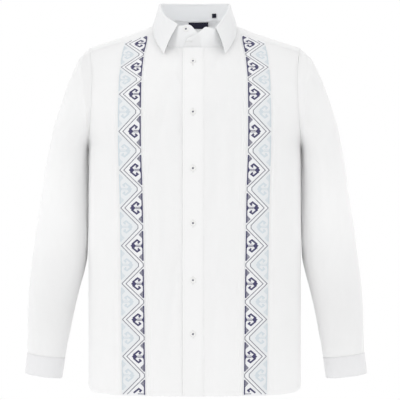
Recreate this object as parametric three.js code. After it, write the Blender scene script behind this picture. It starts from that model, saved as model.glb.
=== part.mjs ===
import * as THREE from "three";

// Long-sleeve embroidered button shirt, filled out as it is worn, with nobody in it.
// Millimetres, +Z up. The front faces -Y and the wearer's left is +X.
// The origin is the middle of the neck, between the shoulders that carry the shirt.

const CLOTH_WALL = 1.5;        // body, sleeves and cuffs
const STRIP_WALL = 1.0;        // placket and embroidered bands
const COLLAR_WALL = 1.2;
const LABEL_WALL = 0.8;
const SEAM_GAP = 0.3;          // pieces stay this far apart at every seam
const HALF_GAP = SEAM_GAP / 2;
const YOKE_SEAM_INSET = 0.25;
const ARMHOLE_GAP = 0.5;         // the sleeve starts this far outside the armhole
const SHEAR_LIMIT = 0.85;      // diagonal ratio below which a cell is split the other way
const LAP_LIFT = CLOTH_WALL + 0.75;   // the upper front stands off the lower one

const HALF_WIDTH = 216.6;      // side seam, from the underarm to the hem
const ARM_HALF_WIDTH = 240;    // the chest's own half width, where the armhole cuts it
const RING_POWER = 2.8;        // squareness of the body's cross-section
const FRONT_DEPTH = 130;
const UNDERARM_Z = -250;
const HEM_Z = -739;
const HEM_SIDE_RISE = 14;
const YOKE_BACK_Z = -78;

const NECK_HALF_WIDTH = 79;
const NECK_CENTRE_Y = 10;
const NECK_FRONT_REACH = 70;
const NECK_BACK_REACH = 58;

const PLACKET_LEFT = -23.4;
const PLACKET_RIGHT = 17.7;
const UNDERLAP_EDGE = 14;
const LAP_END = 45;            // the upper front lies back on the common surface here
const BAND_WIDTH = 48.3;
const PLEAT_HEIGHT = 2.2;

const BUTTON_RADIUS = 5.75;
const BUTTON_HEIGHT = 2.2;
const BUTTON_SIDES = 16;

// Height of the shoulder ridge at each distance from the centre.
const SHOULDER_RIDGE = [
  { out: 0, top: 40 },
  { out: 30, top: 36 },
  { out: 50, top: 29 },
  { out: 65, top: 21.5 },
  { out: 79, top: 13.5 },
  { out: 90, top: 7 },
  { out: 105, top: 0.5 },
  { out: 120, top: -5 },
  { out: 155, top: -17.4 },
  { out: 190, top: -29.4 },
  { out: 222, top: -41.2 },
];
const RIDGE_Y = [
  { out: 0, y: 40 },
  { out: 120, y: 40 },
  { out: 170, y: 30 },
  { out: 222, y: 20 },
];
// Share of the full depth that the cloth has reached at each drop below the ridge.
const FRONT_FALL = [
  { drop: 0, reach: 0 },
  { drop: 2, reach: 0.04 },
  { drop: 8, reach: 0.1 },
  { drop: 27, reach: 0.215 },
  { drop: 80, reach: 0.547 },
  { drop: 138, reach: 0.845 },
  { drop: 212, reach: 0.975 },
  { drop: 300, reach: 1 },
];
const BACK_FALL = [
  { drop: 0, reach: 0 },
  { drop: 2, reach: 0.08 },
  { drop: 10, reach: 0.24 },
  { drop: 30, reach: 0.46 },
  { drop: 60, reach: 0.66 },
  { drop: 108, reach: 0.85 },
  { drop: 170, reach: 0.96 },
  { drop: 260, reach: 1 },
];
const BACK_DEPTH = [
  { z: -760, depth: 117 },
  { z: -560, depth: 112 },
  { z: -430, depth: 110 },
  { z: -260, depth: 118 },
  { z: -120, depth: 120 },
  { z: 60, depth: 120 },
];
// Distance of the armhole seam from the centre.
const ARMHOLE = [
  { z: -250, out: 216.6 },
  { z: -225, out: 213.5 },
  { z: -190, out: 209.5 },
  { z: -150, out: 207.5 },
  { z: -110, out: 208 },
  { z: -80, out: 210.5 },
  { z: -60, out: 213 },
  { z: -36, out: 216.6 },
];
// Drop of the yoke's front seam below the ridge.
const YOKE_FRONT_DROP = [
  { out: 79, drop: 20 },
  { out: 100, drop: 17 },
  { out: 150, drop: 14 },
  { out: 216, drop: 12 },
];
// Inner edge of each embroidered band.
const BAND_INNER = [
  { z: -745, out: 95.4 },
  { z: -560, out: 97.3 },
  { z: -350, out: 100.5 },
  { z: -217, out: 104.2 },
  { z: -120, out: 104.4 },
  { z: -60, out: 101.5 },
  { z: -20, out: 95.8 },
  { z: 40, out: 95.8 },
];
// Columns of cloth from the placket to the band, at the top and over the chest.
const CHEST_COLUMNS = [
  { top: 38, low: 40 },
  { top: 58, low: 62 },
  { top: 72, low: 80 },
  { top: 79, low: 90 },
];
const BACK_COLUMNS = [
  { top: 0, low: 0 },
  { top: 22, low: 25 },
  { top: 42, low: 48 },
  { top: 60, low: 68 },
  { top: 72, low: 82 },
  { top: 79, low: 92 },
  { top: 95.8, low: 104 },
  { top: 120, low: 126 },
  { top: 144.1, low: 148.5 },
];
// Share of the way from the band's outer edge to the side seam or the armhole.
const SIDE_SHARES = [0.096, 0.319, 0.57, 0.778, 0.926, 1];

const LOW_ROWS = 12;           // rows of cloth from the hem to the underarm
const FRONT_TURNS = 9;         // rows along the armhole: front, yoke and back
const YOKE_FRONT_TURNS = 2;
const YOKE_BACK_TURNS = 4;
const BACK_TURNS = 8;

// Sleeve rings below the armhole: the side next to the body, the outer side and the depth.
const SLEEVE_RINGS = [
  { inX: 218.2, inZ: -254, outX: 239.5, outZ: -64, depth: 78, blend: 0.12 },
  { inX: 218.2, inZ: -259, outX: 256, outZ: -97, depth: 80, blend: 0.3 },
  { inX: 218.2, inZ: -266, outX: 269.4, outZ: -131, depth: 82, blend: 0.55 },
  { inX: 218.2, inZ: -276, outX: 281, outZ: -168, depth: 83.5, blend: 0.8 },
  { inX: 218.2, inZ: -290, outX: 292.5, outZ: -207, depth: 84, blend: 1 },
  { inX: 218.2, inZ: -309, outX: 301, outZ: -248, depth: 82, blend: 1 },
  { inX: 218.2, inZ: -334, outX: 308.5, outZ: -290, depth: 78.5, blend: 1 },
  { inX: 218.2, inZ: -364, outX: 313.8, outZ: -333, depth: 74, blend: 1 },
  { inX: 218.2, inZ: -397, outX: 320.4, outZ: -376, depth: 69.5, blend: 1 },
  { inX: 218.7, inZ: -431, outX: 327, outZ: -417, depth: 65, blend: 1 },
  { inX: 220, inZ: -466, outX: 332, outZ: -455, depth: 61, blend: 1 },
  { inX: 226.5, inZ: -500, outX: 336.2, outZ: -489, depth: 59, blend: 1 },
  { inX: 235.4, inZ: -533, outX: 340, outZ: -521, depth: 57, blend: 1 },
  { inX: 243, inZ: -565, outX: 342.6, outZ: -551, depth: 55, blend: 1 },
  { inX: 249.6, inZ: -597, outX: 344.8, outZ: -583, depth: 52, blend: 1 },
  { inX: 255.3, inZ: -628, outX: 345.4, outZ: -615, depth: 48, blend: 1 },
  { inX: 260.2, inZ: -653, outX: 346.2, outZ: -641, depth: 44, blend: 1 },
  { inX: 263, inZ: -674, outX: 347.5, outZ: -663.5, depth: 40, blend: 1 },
];
const CUFF_RINGS = [
  { inX: 263, inZ: -674.3, outX: 347.8, outZ: -663.8, depth: 40, blend: 1 },
  { inX: 264.6, inZ: -687, outX: 349.6, outZ: -677, depth: 40.3, blend: 1 },
  { inX: 266.6, inZ: -702, outX: 351.6, outZ: -692, depth: 40.2, blend: 1 },
  { inX: 268.8, inZ: -716.5, outX: 353, outZ: -706, depth: 39.8, blend: 1 },
];
// The right sleeve hangs a little closer at the wrist than the left one.
const RIGHT_TUCK = [
  { z: -720, inner: 3, outer: -6 },
  { z: -600, inner: 1, outer: -3.5 },
  { z: -480, inner: 0, outer: -2 },
  { z: -300, inner: 0, outer: -3 },
  { z: -160, inner: 0, outer: -4.5 },
  { z: -80, inner: 0, outer: -3.5 },
  { z: -40, inner: 0, outer: 0 },
];
const SLEEVE_POWER = 2.15;

// Collar: the crest of the fold and the free lower edge, by turn from the front.
const COLLAR_LINE = [
  { turn: 28.75, foldX: 33.4, foldY: -64, foldZ: 0.6, edgeX: 62, edgeY: -64, edgeZ: -58 },
  { turn: 48, foldX: 60, foldY: -41, foldZ: 20, edgeX: 75, edgeY: -37, edgeZ: -37 },
  { turn: 70, foldX: 69, foldY: -14, foldZ: 38, edgeX: 84, edgeY: -6, edgeZ: -16 },
  { turn: 92, foldX: 71.5, foldY: 12, foldZ: 50.5, edgeX: 87, edgeY: 20, edgeZ: 4 },
  { turn: 112, foldX: 70, foldY: 34, foldZ: 54, edgeX: 87, edgeY: 42, edgeZ: 12 },
  { turn: 135, foldX: 56, foldY: 52, foldZ: 56.2, edgeX: 76, edgeY: 63, edgeZ: 11.5 },
  { turn: 158, foldX: 30, foldY: 62, foldZ: 57, edgeX: 41, edgeY: 79, edgeZ: 11.5 },
  { turn: 180, foldX: 0, foldY: 64, foldZ: 57, edgeX: 0, edgeY: 83, edgeZ: 11.5 },
];
// The wearer's left front corner of the fold lies further open than the right one.
const LEFT_CORNER_OUT = 8.5;
const LEFT_CORNER_DOWN = 6;
const LEFT_CORNER_REACH = 18;
// Extra collar columns between those that stand on the corners of the neck seam.
const COLLAR_EXTRA_TURNS = [38, 56, 78, 102, 122, 139];
// Free front ends of the collar stand: foot on the neck seam and top, from the tip inwards.
const STAND_OVER_END = [
  { footX: -22.5, back: 0, topX: -14.6, topZ: -28, forward: 1.9 },
  { footX: -8, back: 0, topX: 6.8, topZ: -17.5, forward: 2.2 },
  { footX: 5, back: 0, topX: 16.8, topZ: -8.5, forward: 2.2 },
  { footX: 17, back: 0, topX: 24, topZ: -5, forward: 1.8 },
];
const STAND_UNDER_END = [
  { footX: 13.5, back: 0.7, topX: 10.5, topZ: -27, forward: 0 },
  { footX: 7, back: 0.7, topX: 5.8, topZ: -17.5, forward: 0 },
  { footX: -3, back: 0.7, topX: -1.3, topZ: -8.5, forward: 0 },
  { footX: -14, back: 0.7, topX: -11, topZ: -0.6, forward: 0 },
];
const STAND_TOP_Y = -64;
const STAND_BELOW_CREST = 3.5;

const PLACKET_BUTTONS = [
  { name: "button_1", z: -78.5 },
  { name: "button_2", z: -179 },
  { name: "button_3", z: -290 },
  { name: "button_4", z: -398 },
  { name: "button_5", z: -510 },
  { name: "button_6", z: -616 },
];
const BUTTON_X = -3;

const FOLD_WAVES = [
  { low: -760, high: -330, out: 62, spread: 26, height: 1.6 },
  { low: -760, high: -420, out: 186, spread: 16, height: -2.2 },
  { low: -640, high: -250, out: -182, spread: 18, height: -1.8 },
  { low: -760, high: -480, out: -58, spread: 22, height: 1.2 },
  { low: -430, high: -150, out: 45, spread: 20, height: -1.2 },
];
const SLEEVE_FOLDS = [
  { z: -330, turn: 0.9, reach: 26, spread: 0.9, height: -2.4 },
  { z: -405, turn: 1.7, reach: 24, spread: 0.8, height: 1.8 },
  { z: -470, turn: 1.1, reach: 20, spread: 0.8, height: -2.2 },
  { z: -530, turn: 2.2, reach: 24, spread: 0.7, height: 1.6 },
  { z: -610, turn: 1.2, reach: 22, spread: 0.8, height: -1.8 },
  { z: -440, turn: 4.6, reach: 22, spread: 0.9, height: -2.2 },
  { z: -560, turn: 5.1, reach: 24, spread: 0.8, height: 1.6 },
];

const WHITE = { color: 0xf2f2f0, roughness: 0.85, metalness: 0 };
const BAND_CLOTH = { color: 0xe2e8ec, roughness: 0.85, metalness: 0 };
const BUTTON_WHITE = { color: 0xf6f6f2, roughness: 0.35, metalness: 0 };
const NAVY = { color: 0x23233a, roughness: 0.7, metalness: 0 };

// ---------------------------------------------------------------- small tools

function smooth(t) {
  const u = Math.min(1, Math.max(0, t));
  return u * u * (3 - 2 * u);
}

function mix(a, b, t) {
  return a + (b - a) * t;
}

// Monotone cubic through a table's rows, as a function of its first column.
function curveOf(rows, from, to) {
  const x = rows.map((row) => row[from]);
  const y = rows.map((row) => row[to]);
  const last = x.length - 1;
  const slope = [];
  for (let i = 0; i < last; i += 1) {
    slope.push((y[i + 1] - y[i]) / (x[i + 1] - x[i]));
  }
  const tangent = [slope[0]];
  for (let i = 1; i < last; i += 1) {
    const product = slope[i - 1] * slope[i];
    tangent.push(product <= 0 ? 0 : (2 * product) / (slope[i - 1] + slope[i]));
  }
  tangent.push(slope[last - 1]);
  return (at) => {
    if (at <= x[0]) return y[0];
    if (at >= x[last]) return y[last];
    let i = 0;
    while (at > x[i + 1]) i += 1;
    const h = x[i + 1] - x[i];
    const t = (at - x[i]) / h;
    const t2 = t * t;
    const t3 = t2 * t;
    return (
      y[i] * (2 * t3 - 3 * t2 + 1) +
      h * tangent[i] * (t3 - 2 * t2 + t) +
      y[i + 1] * (3 * t2 - 2 * t3) +
      h * tangent[i + 1] * (t3 - t2)
    );
  };
}

const ridgeTop = curveOf(SHOULDER_RIDGE, "out", "top");
const ridgeY = curveOf(RIDGE_Y, "out", "y");
const frontReach = curveOf(FRONT_FALL, "drop", "reach");
const backReach = curveOf(BACK_FALL, "drop", "reach");
const backDepth = curveOf(BACK_DEPTH, "z", "depth");
const armholeOut = curveOf(ARMHOLE, "z", "out");
const yokeDrop = curveOf(YOKE_FRONT_DROP, "out", "drop");
const bandInner = curveOf(BAND_INNER, "z", "out");
const tuckInner = curveOf(RIGHT_TUCK, "z", "inner");
const tuckOuter = curveOf(RIGHT_TUCK, "z", "outer");

function dropFor(reachOf, share) {
  let low = 0;
  let high = 300;
  for (let i = 0; i < 48; i += 1) {
    const middle = (low + high) / 2;
    if (reachOf(middle) < share) low = middle;
    else high = middle;
  }
  return (low + high) / 2;
}

// ---------------------------------------------------------------- the body's surface

function ringShare(out, z) {
  const widening = (ARM_HALF_WIDTH - HALF_WIDTH) * smooth((z - UNDERARM_Z) / 80);
  const across = Math.min(1, out / (HALF_WIDTH + widening));
  return (1 - across ** RING_POWER) ** (1 / RING_POWER);
}

function foldHeight(x, z) {
  let height = 0;
  for (const wave of FOLD_WAVES) {
    const along = smooth((z - wave.low) / 60) * smooth((wave.high - z) / 120);
    const offset = (x - wave.out) / wave.spread;
    height += wave.height * along * Math.exp(-offset * offset);
  }
  return height;
}

function frontY(x, z) {
  const out = Math.abs(x);
  const ridge = ridgeY(out);
  const reach = frontReach(ridgeTop(out) - z);
  const full = -FRONT_DEPTH * ringShare(out, z);
  return ridge + (full - ridge) * reach - foldHeight(x, z) * ringShare(out, z);
}

function backY(x, z) {
  const out = Math.abs(x);
  const ridge = ridgeY(out);
  const reach = backReach(ridgeTop(out) - z);
  const full = backDepth(z) * ringShare(out, z);
  return ridge + (full - ridge) * reach + foldHeight(-x, z) * ringShare(out, z);
}

// Height of the shoulders above a point of the plan.
function shoulderZ(x, y) {
  const out = Math.abs(x);
  const ridge = ridgeY(out);
  const side = y < ridge ? frontReach : backReach;
  const depth = y < ridge ? -FRONT_DEPTH : backDepth(0);
  const full = depth * ringShare(out, 0);
  return ridgeTop(out) - dropFor(side, (ridge - y) / (ridge - full));
}

function neckPoint(turn) {
  const reach = Math.cos(turn) > 0 ? NECK_FRONT_REACH : NECK_BACK_REACH;
  const x = NECK_HALF_WIDTH * Math.sin(turn);
  const y = NECK_CENTRE_Y - reach * Math.cos(turn);
  return new THREE.Vector3(x, y, shoulderZ(x, y));
}

function frontNeckPoint(x) {
  return neckPoint(Math.asin(Math.max(-1, Math.min(1, x / NECK_HALF_WIDTH))));
}

function backNeckPoint(x) {
  return neckPoint(Math.PI - Math.asin(Math.max(-1, Math.min(1, x / NECK_HALF_WIDTH))));
}

function hemZ(x, y) {
  const inward = 1 - Math.min(1, Math.abs(y) / 110);
  return HEM_Z + HEM_SIDE_RISE * inward * inward;
}

// ---------------------------------------------------------------- the armhole

const ARM_TOP_Z = ridgeTop(HALF_WIDTH);
const ARM_MIDDLE_Z = (UNDERARM_Z + ARM_TOP_Z) / 2;
const ARM_HALF_HEIGHT = (ARM_TOP_Z - UNDERARM_Z) / 2;

function armTurnAt(z) {
  return Math.acos((ARM_MIDDLE_Z - z) / ARM_HALF_HEIGHT);
}

const FRONT_SEAM_TURN = armTurnAt(ARM_TOP_Z - yokeDrop(HALF_WIDTH));
const BACK_SEAM_TURN = 2 * Math.PI - armTurnAt(YOKE_BACK_Z);

function turnsBetween(from, to, count) {
  return Array.from({ length: count + 1 }, (_, i) => mix(from, to, i / count));
}

const TURNS_FRONT = turnsBetween(0, FRONT_SEAM_TURN, FRONT_TURNS);
const TURNS_YOKE = [
  ...turnsBetween(FRONT_SEAM_TURN, Math.PI, YOKE_FRONT_TURNS),
  ...turnsBetween(Math.PI, BACK_SEAM_TURN, YOKE_BACK_TURNS).slice(1),
];
const TURNS_BACK = turnsBetween(BACK_SEAM_TURN, 2 * Math.PI, BACK_TURNS);
const ARM_TURNS = [...TURNS_FRONT, ...TURNS_YOKE.slice(1), ...TURNS_BACK.slice(1, -1)];

function armholePoint(turn) {
  const z = ARM_MIDDLE_Z - ARM_HALF_HEIGHT * Math.cos(turn);
  const x = armholeOut(z);
  if (turn <= 0 || turn >= 2 * Math.PI) return new THREE.Vector3(HALF_WIDTH, 0, UNDERARM_Z);
  if (Math.abs(turn - Math.PI) < 1e-9) return new THREE.Vector3(x, ridgeY(x), z);
  return new THREE.Vector3(x, turn < Math.PI ? frontY(x, z) : backY(x, z), z);
}

function edgeX(z) {
  return z <= UNDERARM_Z ? HALF_WIDTH : armholeOut(z);
}

// ---------------------------------------------------------------- the panels' points

// Rows of an upright column, from its foot to its top, shared out as the side edge is.
function heightShares(turns) {
  const top = ARM_MIDDLE_Z - ARM_HALF_HEIGHT * Math.cos(turns[turns.length - 1]);
  const foot = HEM_Z + HEM_SIDE_RISE;
  const heights = [];
  for (let i = 0; i < LOW_ROWS; i += 1) heights.push(mix(foot, UNDERARM_Z, i / LOW_ROWS));
  for (const turn of turns) heights.push(ARM_MIDDLE_Z - ARM_HALF_HEIGHT * Math.cos(turn));
  return heights.map((z) => (z - foot) / (top - foot));
}

function chestX(column, z) {
  return mix(column.low, column.top, smooth((z + 330) / 280));
}

function frontColumns(firstEdges) {
  const columns = firstEdges.map((x) => ({ xAt: () => x, neck: true }));
  for (const column of CHEST_COLUMNS) {
    columns.push({ xAt: (z) => chestX(column, z), neck: true });
  }
  for (const share of [0, 0.5, 1]) {
    columns.push({ xAt: (z) => bandInner(z) + BAND_WIDTH * share, neck: false });
  }
  for (const share of SIDE_SHARES) {
    columns.push({
      xAt: (z) => mix(bandInner(z) + BAND_WIDTH, edgeX(z), share),
      neck: false,
      edge: share === 1,
    });
  }
  return columns;
}

function frontTop(column) {
  if (column.neck) return frontNeckPoint(column.xAt(0)).z;
  let z = 0;
  for (let i = 0; i < 30; i += 1) {
    const x = column.xAt(z);
    z = ridgeTop(x) - yokeDrop(x);
  }
  return z;
}

function pleatHeight(x, z) {
  const crest = bandInner(z) + BAND_WIDTH + 6.5;
  const offset = (Math.abs(x) - crest) / 4;
  const share = smooth((-110 - z) / 90);
  return PLEAT_HEIGHT * share * Math.exp(-offset * offset);
}

function frontPoint(x, z) {
  const y = frontY(x, z) - pleatHeight(x, z);
  return new THREE.Vector3(x, y, z);
}

// side +1 is the wearer's left. Grid rows run from the hem up, columns from centre to side.
function frontGrid(side, firstEdges) {
  const shares = heightShares(TURNS_FRONT);
  const columns = frontColumns(firstEdges);
  return shares.map((share, row) =>
    columns.map((column) => {
      if (column.edge && row >= LOW_ROWS) {
        const point = armholePoint(TURNS_FRONT[row - LOW_ROWS]);
        return new THREE.Vector3(side * point.x, point.y, point.z);
      }
      const top = frontTop(column);
      const lowX = side * column.xAt(HEM_Z);
      const foot = hemZ(lowX, column.edge ? 0 : frontY(lowX, HEM_Z + 20));
      const z = mix(foot, top, share);
      const x = side * column.xAt(z);
      if (column.edge) return new THREE.Vector3(x, 0, z);
      return frontPoint(x, z);
    }),
  );
}

function backColumns() {
  const half = [];
  for (const column of BACK_COLUMNS) {
    half.push({ xAt: (z) => mix(column.low, column.top, smooth((z + 330) / 250)), topX: column.top });
  }
  const lastBand = BACK_COLUMNS[BACK_COLUMNS.length - 1];
  for (const share of SIDE_SHARES) {
    half.push({
      xAt: (z) => {
        const inner = mix(lastBand.low, lastBand.top, smooth((z + 330) / 250));
        return mix(inner, edgeX(z), share);
      },
      share,
      edge: share === 1,
    });
  }
  const mirrored = half.slice(1).reverse().map((column) => ({ ...column, side: -1 }));
  return [...mirrored, ...half.map((column) => ({ ...column, side: 1 }))];
}

function backGrid() {
  const turns = [...TURNS_BACK].reverse();
  const shares = heightShares(turns);
  return shares.map((share, row) =>
    backColumns().map((column) => {
      if (column.edge && row >= LOW_ROWS) {
        const point = armholePoint(turns[row - LOW_ROWS]);
        return new THREE.Vector3(column.side * point.x, point.y, point.z);
      }
      const lowX = column.side * column.xAt(HEM_Z);
      const foot = hemZ(lowX, column.edge ? 0 : backY(lowX, HEM_Z + 20));
      const z = mix(foot, YOKE_BACK_Z, share);
      const x = column.side * column.xAt(z);
      if (column.edge) return new THREE.Vector3(x, 0, z);
      return new THREE.Vector3(x, backY(x, z), z);
    }),
  );
}

// Rows run from the front seam over the shoulders to the back seam.
function yokeGrid() {
  const edge = TURNS_YOKE.map(armholePoint);
  const seamY = edge[edge.length - 1].y;
  const shares = edge.map((point) => (point.y - edge[0].y) / (seamY - edge[0].y));
  const band = BACK_COLUMNS[BACK_COLUMNS.length - 1].top;
  return shares.map((share, row) =>
    backColumns().map((column) => {
      if (column.edge) {
        return new THREE.Vector3(column.side * edge[row].x, edge[row].y, edge[row].z);
      }
      const x = column.share ? mix(band, edge[row].x, column.share) : column.topX;
      const start = x <= NECK_HALF_WIDTH + 1e-6
        ? backNeckPoint(x).y
        : frontY(x, ridgeTop(x) - yokeDrop(x));
      const end = backY(x, YOKE_BACK_Z);
      const y = mix(start, end, share);
      if (row === 0 && x > NECK_HALF_WIDTH + 1e-6) {
        return new THREE.Vector3(column.side * x, y, ridgeTop(x) - yokeDrop(x));
      }
      if (row === shares.length - 1) return new THREE.Vector3(column.side * x, end, YOKE_BACK_Z);
      return new THREE.Vector3(column.side * x, y, shoulderZ(x, y));
    }),
  );
}

// ---------------------------------------------------------------- walls from grids

// Adds each face's normal to its corners; corners at one place share the sum.
class NormalField {
  constructor() {
    this.sums = new Map();
  }

  key(point) {
    return [point.x, point.y, point.z].map((value) => Math.round(value * 20)).join(",");
  }

  addGrid(grid, { closed = false, flip = false } = {}) {
    const rows = grid.length;
    const columns = grid[0].length;
    const lastColumn = closed ? columns : columns - 1;
    for (let j = 0; j < rows - 1; j += 1) {
      for (let i = 0; i < lastColumn; i += 1) {
        const k = (i + 1) % columns;
        const corners = [grid[j][i], grid[j][k], grid[j + 1][k], grid[j + 1][i]];
        const one = new THREE.Vector3().subVectors(corners[2], corners[0]);
        const two = new THREE.Vector3().subVectors(corners[3], corners[1]);
        const normal = one.cross(two);
        if (flip) normal.negate();
        for (const corner of corners) this.add(corner, normal);
      }
    }
  }

  add(point, normal) {
    const key = this.key(point);
    const sum = this.sums.get(key) ?? new THREE.Vector3();
    this.sums.set(key, sum.add(normal));
  }

  set(point, normal) {
    this.sums.set(this.key(point), normal.clone());
  }

  at(point) {
    return this.sums.get(this.key(point)).clone().normalize();
  }

  ofGrid(grid) {
    return grid.map((row) => row.map((point) => this.at(point)));
  }
}

function moved(grid, normals, distance) {
  return grid.map((row, j) =>
    row.map((point, i) => {
      const amount = typeof distance === "function" ? distance(point, j, i) : distance;
      return point.clone().addScaledVector(normals[j][i], amount);
    }),
  );
}

// A closed wall between an outer and an inner grid of the same size.
function wallGeometry(outer, inner, closed) {
  const rows = outer.length;
  const columns = outer[0].length;
  const points = [...outer.flat(), ...inner.flat()];
  const half = rows * columns;
  const index = [];
  const at = (layer, j, i) => layer * half + j * columns + (i % columns);
  const quad = (a, b, c, d) => index.push(a, b, c, a, c, d);
  const lastColumn = closed ? columns : columns - 1;
  for (let j = 0; j < rows - 1; j += 1) {
    for (let i = 0; i < lastColumn; i += 1) {
      const corners = [at(0, j, i), at(0, j, i + 1), at(0, j + 1, i + 1), at(0, j + 1, i)];
      const rising = points[corners[0]].distanceTo(points[corners[2]]);
      const falling = points[corners[1]].distanceTo(points[corners[3]]);
      // A strongly sheared cell is split along its short diagonal.
      const [a, b, c, d] = falling < SHEAR_LIMIT * rising
        ? [corners[1], corners[2], corners[3], corners[0]]
        : corners;
      quad(a, b, c, d);
      quad(a + half, d + half, c + half, b + half);
    }
  }
  for (let i = 0; i < lastColumn; i += 1) {
    quad(at(0, 0, i), at(1, 0, i), at(1, 0, i + 1), at(0, 0, i + 1));
    quad(at(0, rows - 1, i), at(0, rows - 1, i + 1), at(1, rows - 1, i + 1), at(1, rows - 1, i));
  }
  if (!closed) {
    for (let j = 0; j < rows - 1; j += 1) {
      quad(at(0, j, 0), at(0, j + 1, 0), at(1, j + 1, 0), at(1, j, 0));
      const e = columns - 1;
      quad(at(0, j, e), at(1, j, e), at(1, j + 1, e), at(0, j + 1, e));
    }
  }
  const geometry = new THREE.BufferGeometry();
  const flatPoints = points.flatMap((point) => [point.x, point.y, point.z]);
  geometry.setAttribute("position", new THREE.Float32BufferAttribute(flatPoints, 3));
  geometry.setIndex(turnedOut(index, points));
  geometry.computeVertexNormals();
  return geometry;
}

// Turns every triangle round where the closed surface faces inwards.
function turnedOut(index, points) {
  let volume = 0;
  for (let i = 0; i < index.length; i += 3) {
    const [a, b, c] = [points[index[i]], points[index[i + 1]], points[index[i + 2]]];
    volume += a.dot(new THREE.Vector3().crossVectors(b, c));
  }
  if (volume > 0) return index;
  const turned = [];
  for (let i = 0; i < index.length; i += 3) turned.push(index[i], index[i + 2], index[i + 1]);
  return turned;
}

const shirt = new THREE.Group();

function addPiece(name, geometry, look) {
  const mesh = new THREE.Mesh(geometry, new THREE.MeshStandardMaterial(look));
  mesh.name = name;
  shirt.add(mesh);
  return mesh;
}

// Draws in a grid's edge along the cloth, to leave the seam's gap.
function drawIn(grid, { firstRow = 0, lastRow = 0, firstColumn = 0, lastColumn = 0 }) {
  const pulled = grid.map((row) => row.map((point) => point.clone()));
  const rows = grid.length;
  const columns = grid[0].length;
  const pull = (point, from, toward, distance) => {
    const step = new THREE.Vector3().subVectors(toward, from).normalize();
    point.addScaledVector(step, distance);
  };
  for (let i = 0; i < columns; i += 1) {
    pull(pulled[0][i], grid[0][i], grid[1][i], firstRow);
    pull(pulled[rows - 1][i], grid[rows - 1][i], grid[rows - 2][i], lastRow);
  }
  for (let j = 0; j < rows; j += 1) {
    pull(pulled[j][0], grid[j][0], grid[j][1], firstColumn);
    pull(pulled[j][columns - 1], grid[j][columns - 1], grid[j][columns - 2], lastColumn);
  }
  return pulled;
}

// ---------------------------------------------------------------- body panels

const leftFront = frontGrid(1, [PLACKET_LEFT, PLACKET_RIGHT]);
const rightFront = frontGrid(-1, [-UNDERLAP_EDGE, -PLACKET_LEFT]);
const backPanel = backGrid();
const yokePanel = yokeGrid();

const bodyNormals = new NormalField();
bodyNormals.addGrid(leftFront);
bodyNormals.addGrid(rightFront, { flip: true });
bodyNormals.addGrid(backPanel, { flip: true });
bodyNormals.addGrid(yokePanel);

// At a side seam the cloth faces straight out.
for (const grid of [leftFront, rightFront, backPanel]) {
  for (const row of grid.slice(0, LOW_ROWS + 1)) {
    for (const point of [row[0], row[row.length - 1]]) {
      if (Math.abs(point.x) > HALF_WIDTH - 0.01) {
        bodyNormals.set(point, new THREE.Vector3(Math.sign(point.x), 0, 0));
      }
    }
  }
}

function lapLift(point) {
  return LAP_LIFT * (1 - smooth((point.x - PLACKET_RIGHT) / (LAP_END - PLACKET_RIGHT)));
}

const leftNormals = bodyNormals.ofGrid(leftFront);
const rightNormals = bodyNormals.ofGrid(rightFront);

// A side edge keeps clear of its neighbour below the underarm only: above it the sleeve does.
function sideDrawn(grid, columnsToDraw, direction) {
  return grid.map((row, j) =>
    row.map((point, i) => {
      if (!columnsToDraw.includes(i) || j > LOW_ROWS) return point;
      return point.clone().add(new THREE.Vector3(0, direction * HALF_GAP, 0));
    }),
  );
}

const lastFront = leftFront[0].length - 1;
const lastBack = backPanel[0].length - 1;

function topDrawn(grid, fromColumn) {
  const drawn = drawIn(grid, { lastRow: YOKE_SEAM_INSET });
  return drawn.map((row, j) => row.map((point, i) => (i >= fromColumn ? point : grid[j][i])));
}

const neckColumns = 2 + CHEST_COLUMNS.length;
const leftPanel = sideDrawn(topDrawn(leftFront, neckColumns - 1), [lastFront], -1);
const rightPanel = sideDrawn(topDrawn(rightFront, neckColumns - 1), [lastFront], -1);
const backDrawn = sideDrawn(drawIn(backPanel, { lastRow: YOKE_SEAM_INSET }), [0, lastBack], 1);
const yokeDrawn = drawIn(yokePanel, { firstRow: YOKE_SEAM_INSET, lastRow: YOKE_SEAM_INSET });

function addPanel(name, grid, normals, lift, wall, look) {
  const outer = moved(grid, normals, lift);
  const inner = moved(grid, normals, (point, j, i) => {
    const amount = typeof lift === "function" ? lift(point, j, i) : lift;
    return amount - wall;
  });
  addPiece(name, wallGeometry(outer, inner, false), look);
  return outer;
}

const leftOuter = addPanel("front_left", leftPanel, leftNormals, lapLift, CLOTH_WALL, WHITE);
const rightOuter = addPanel("front_right", rightPanel, rightNormals, 0, CLOTH_WALL, WHITE);
addPanel("back", backDrawn, bodyNormals.ofGrid(backPanel), 0, CLOTH_WALL, WHITE);
const yokeNormals = bodyNormals.ofGrid(yokePanel);
const yokeOuter = addPanel("yoke", yokeDrawn, yokeNormals, 0, CLOTH_WALL, WHITE);

// ---------------------------------------------------------------- placket and bands

function columnsOf(grid, from, to) {
  return grid.map((row) => row.slice(from, to + 1));
}

const STRIP_TOP_DROP = 5;

function addStrip(name, grid, normals, from, to, lift, topDrop, look) {
  const strip = drawIn(columnsOf(grid, from, to), { lastRow: topDrop });
  const stripNormals = columnsOf(normals, from, to);
  const raise = (point, j, i) => lift(grid[j][from + i]) + SEAM_GAP + STRIP_WALL;
  return addPanel(name, strip, stripNormals, raise, STRIP_WALL, look);
}

const placketOuter = addStrip(
  "placket", leftFront, leftNormals, 0, 1, lapLift, STRIP_TOP_DROP, WHITE,
);
const bandColumn = neckColumns;
const noLift = () => 0;
addStrip(
  "band_left", leftPanel, leftNormals, bandColumn, bandColumn + 2, noLift, 0, BAND_CLOTH,
);
addStrip(
  "band_right", rightPanel, rightNormals, bandColumn, bandColumn + 2, noLift, 0, BAND_CLOTH,
);

// ---------------------------------------------------------------- sleeves and cuffs

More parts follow.
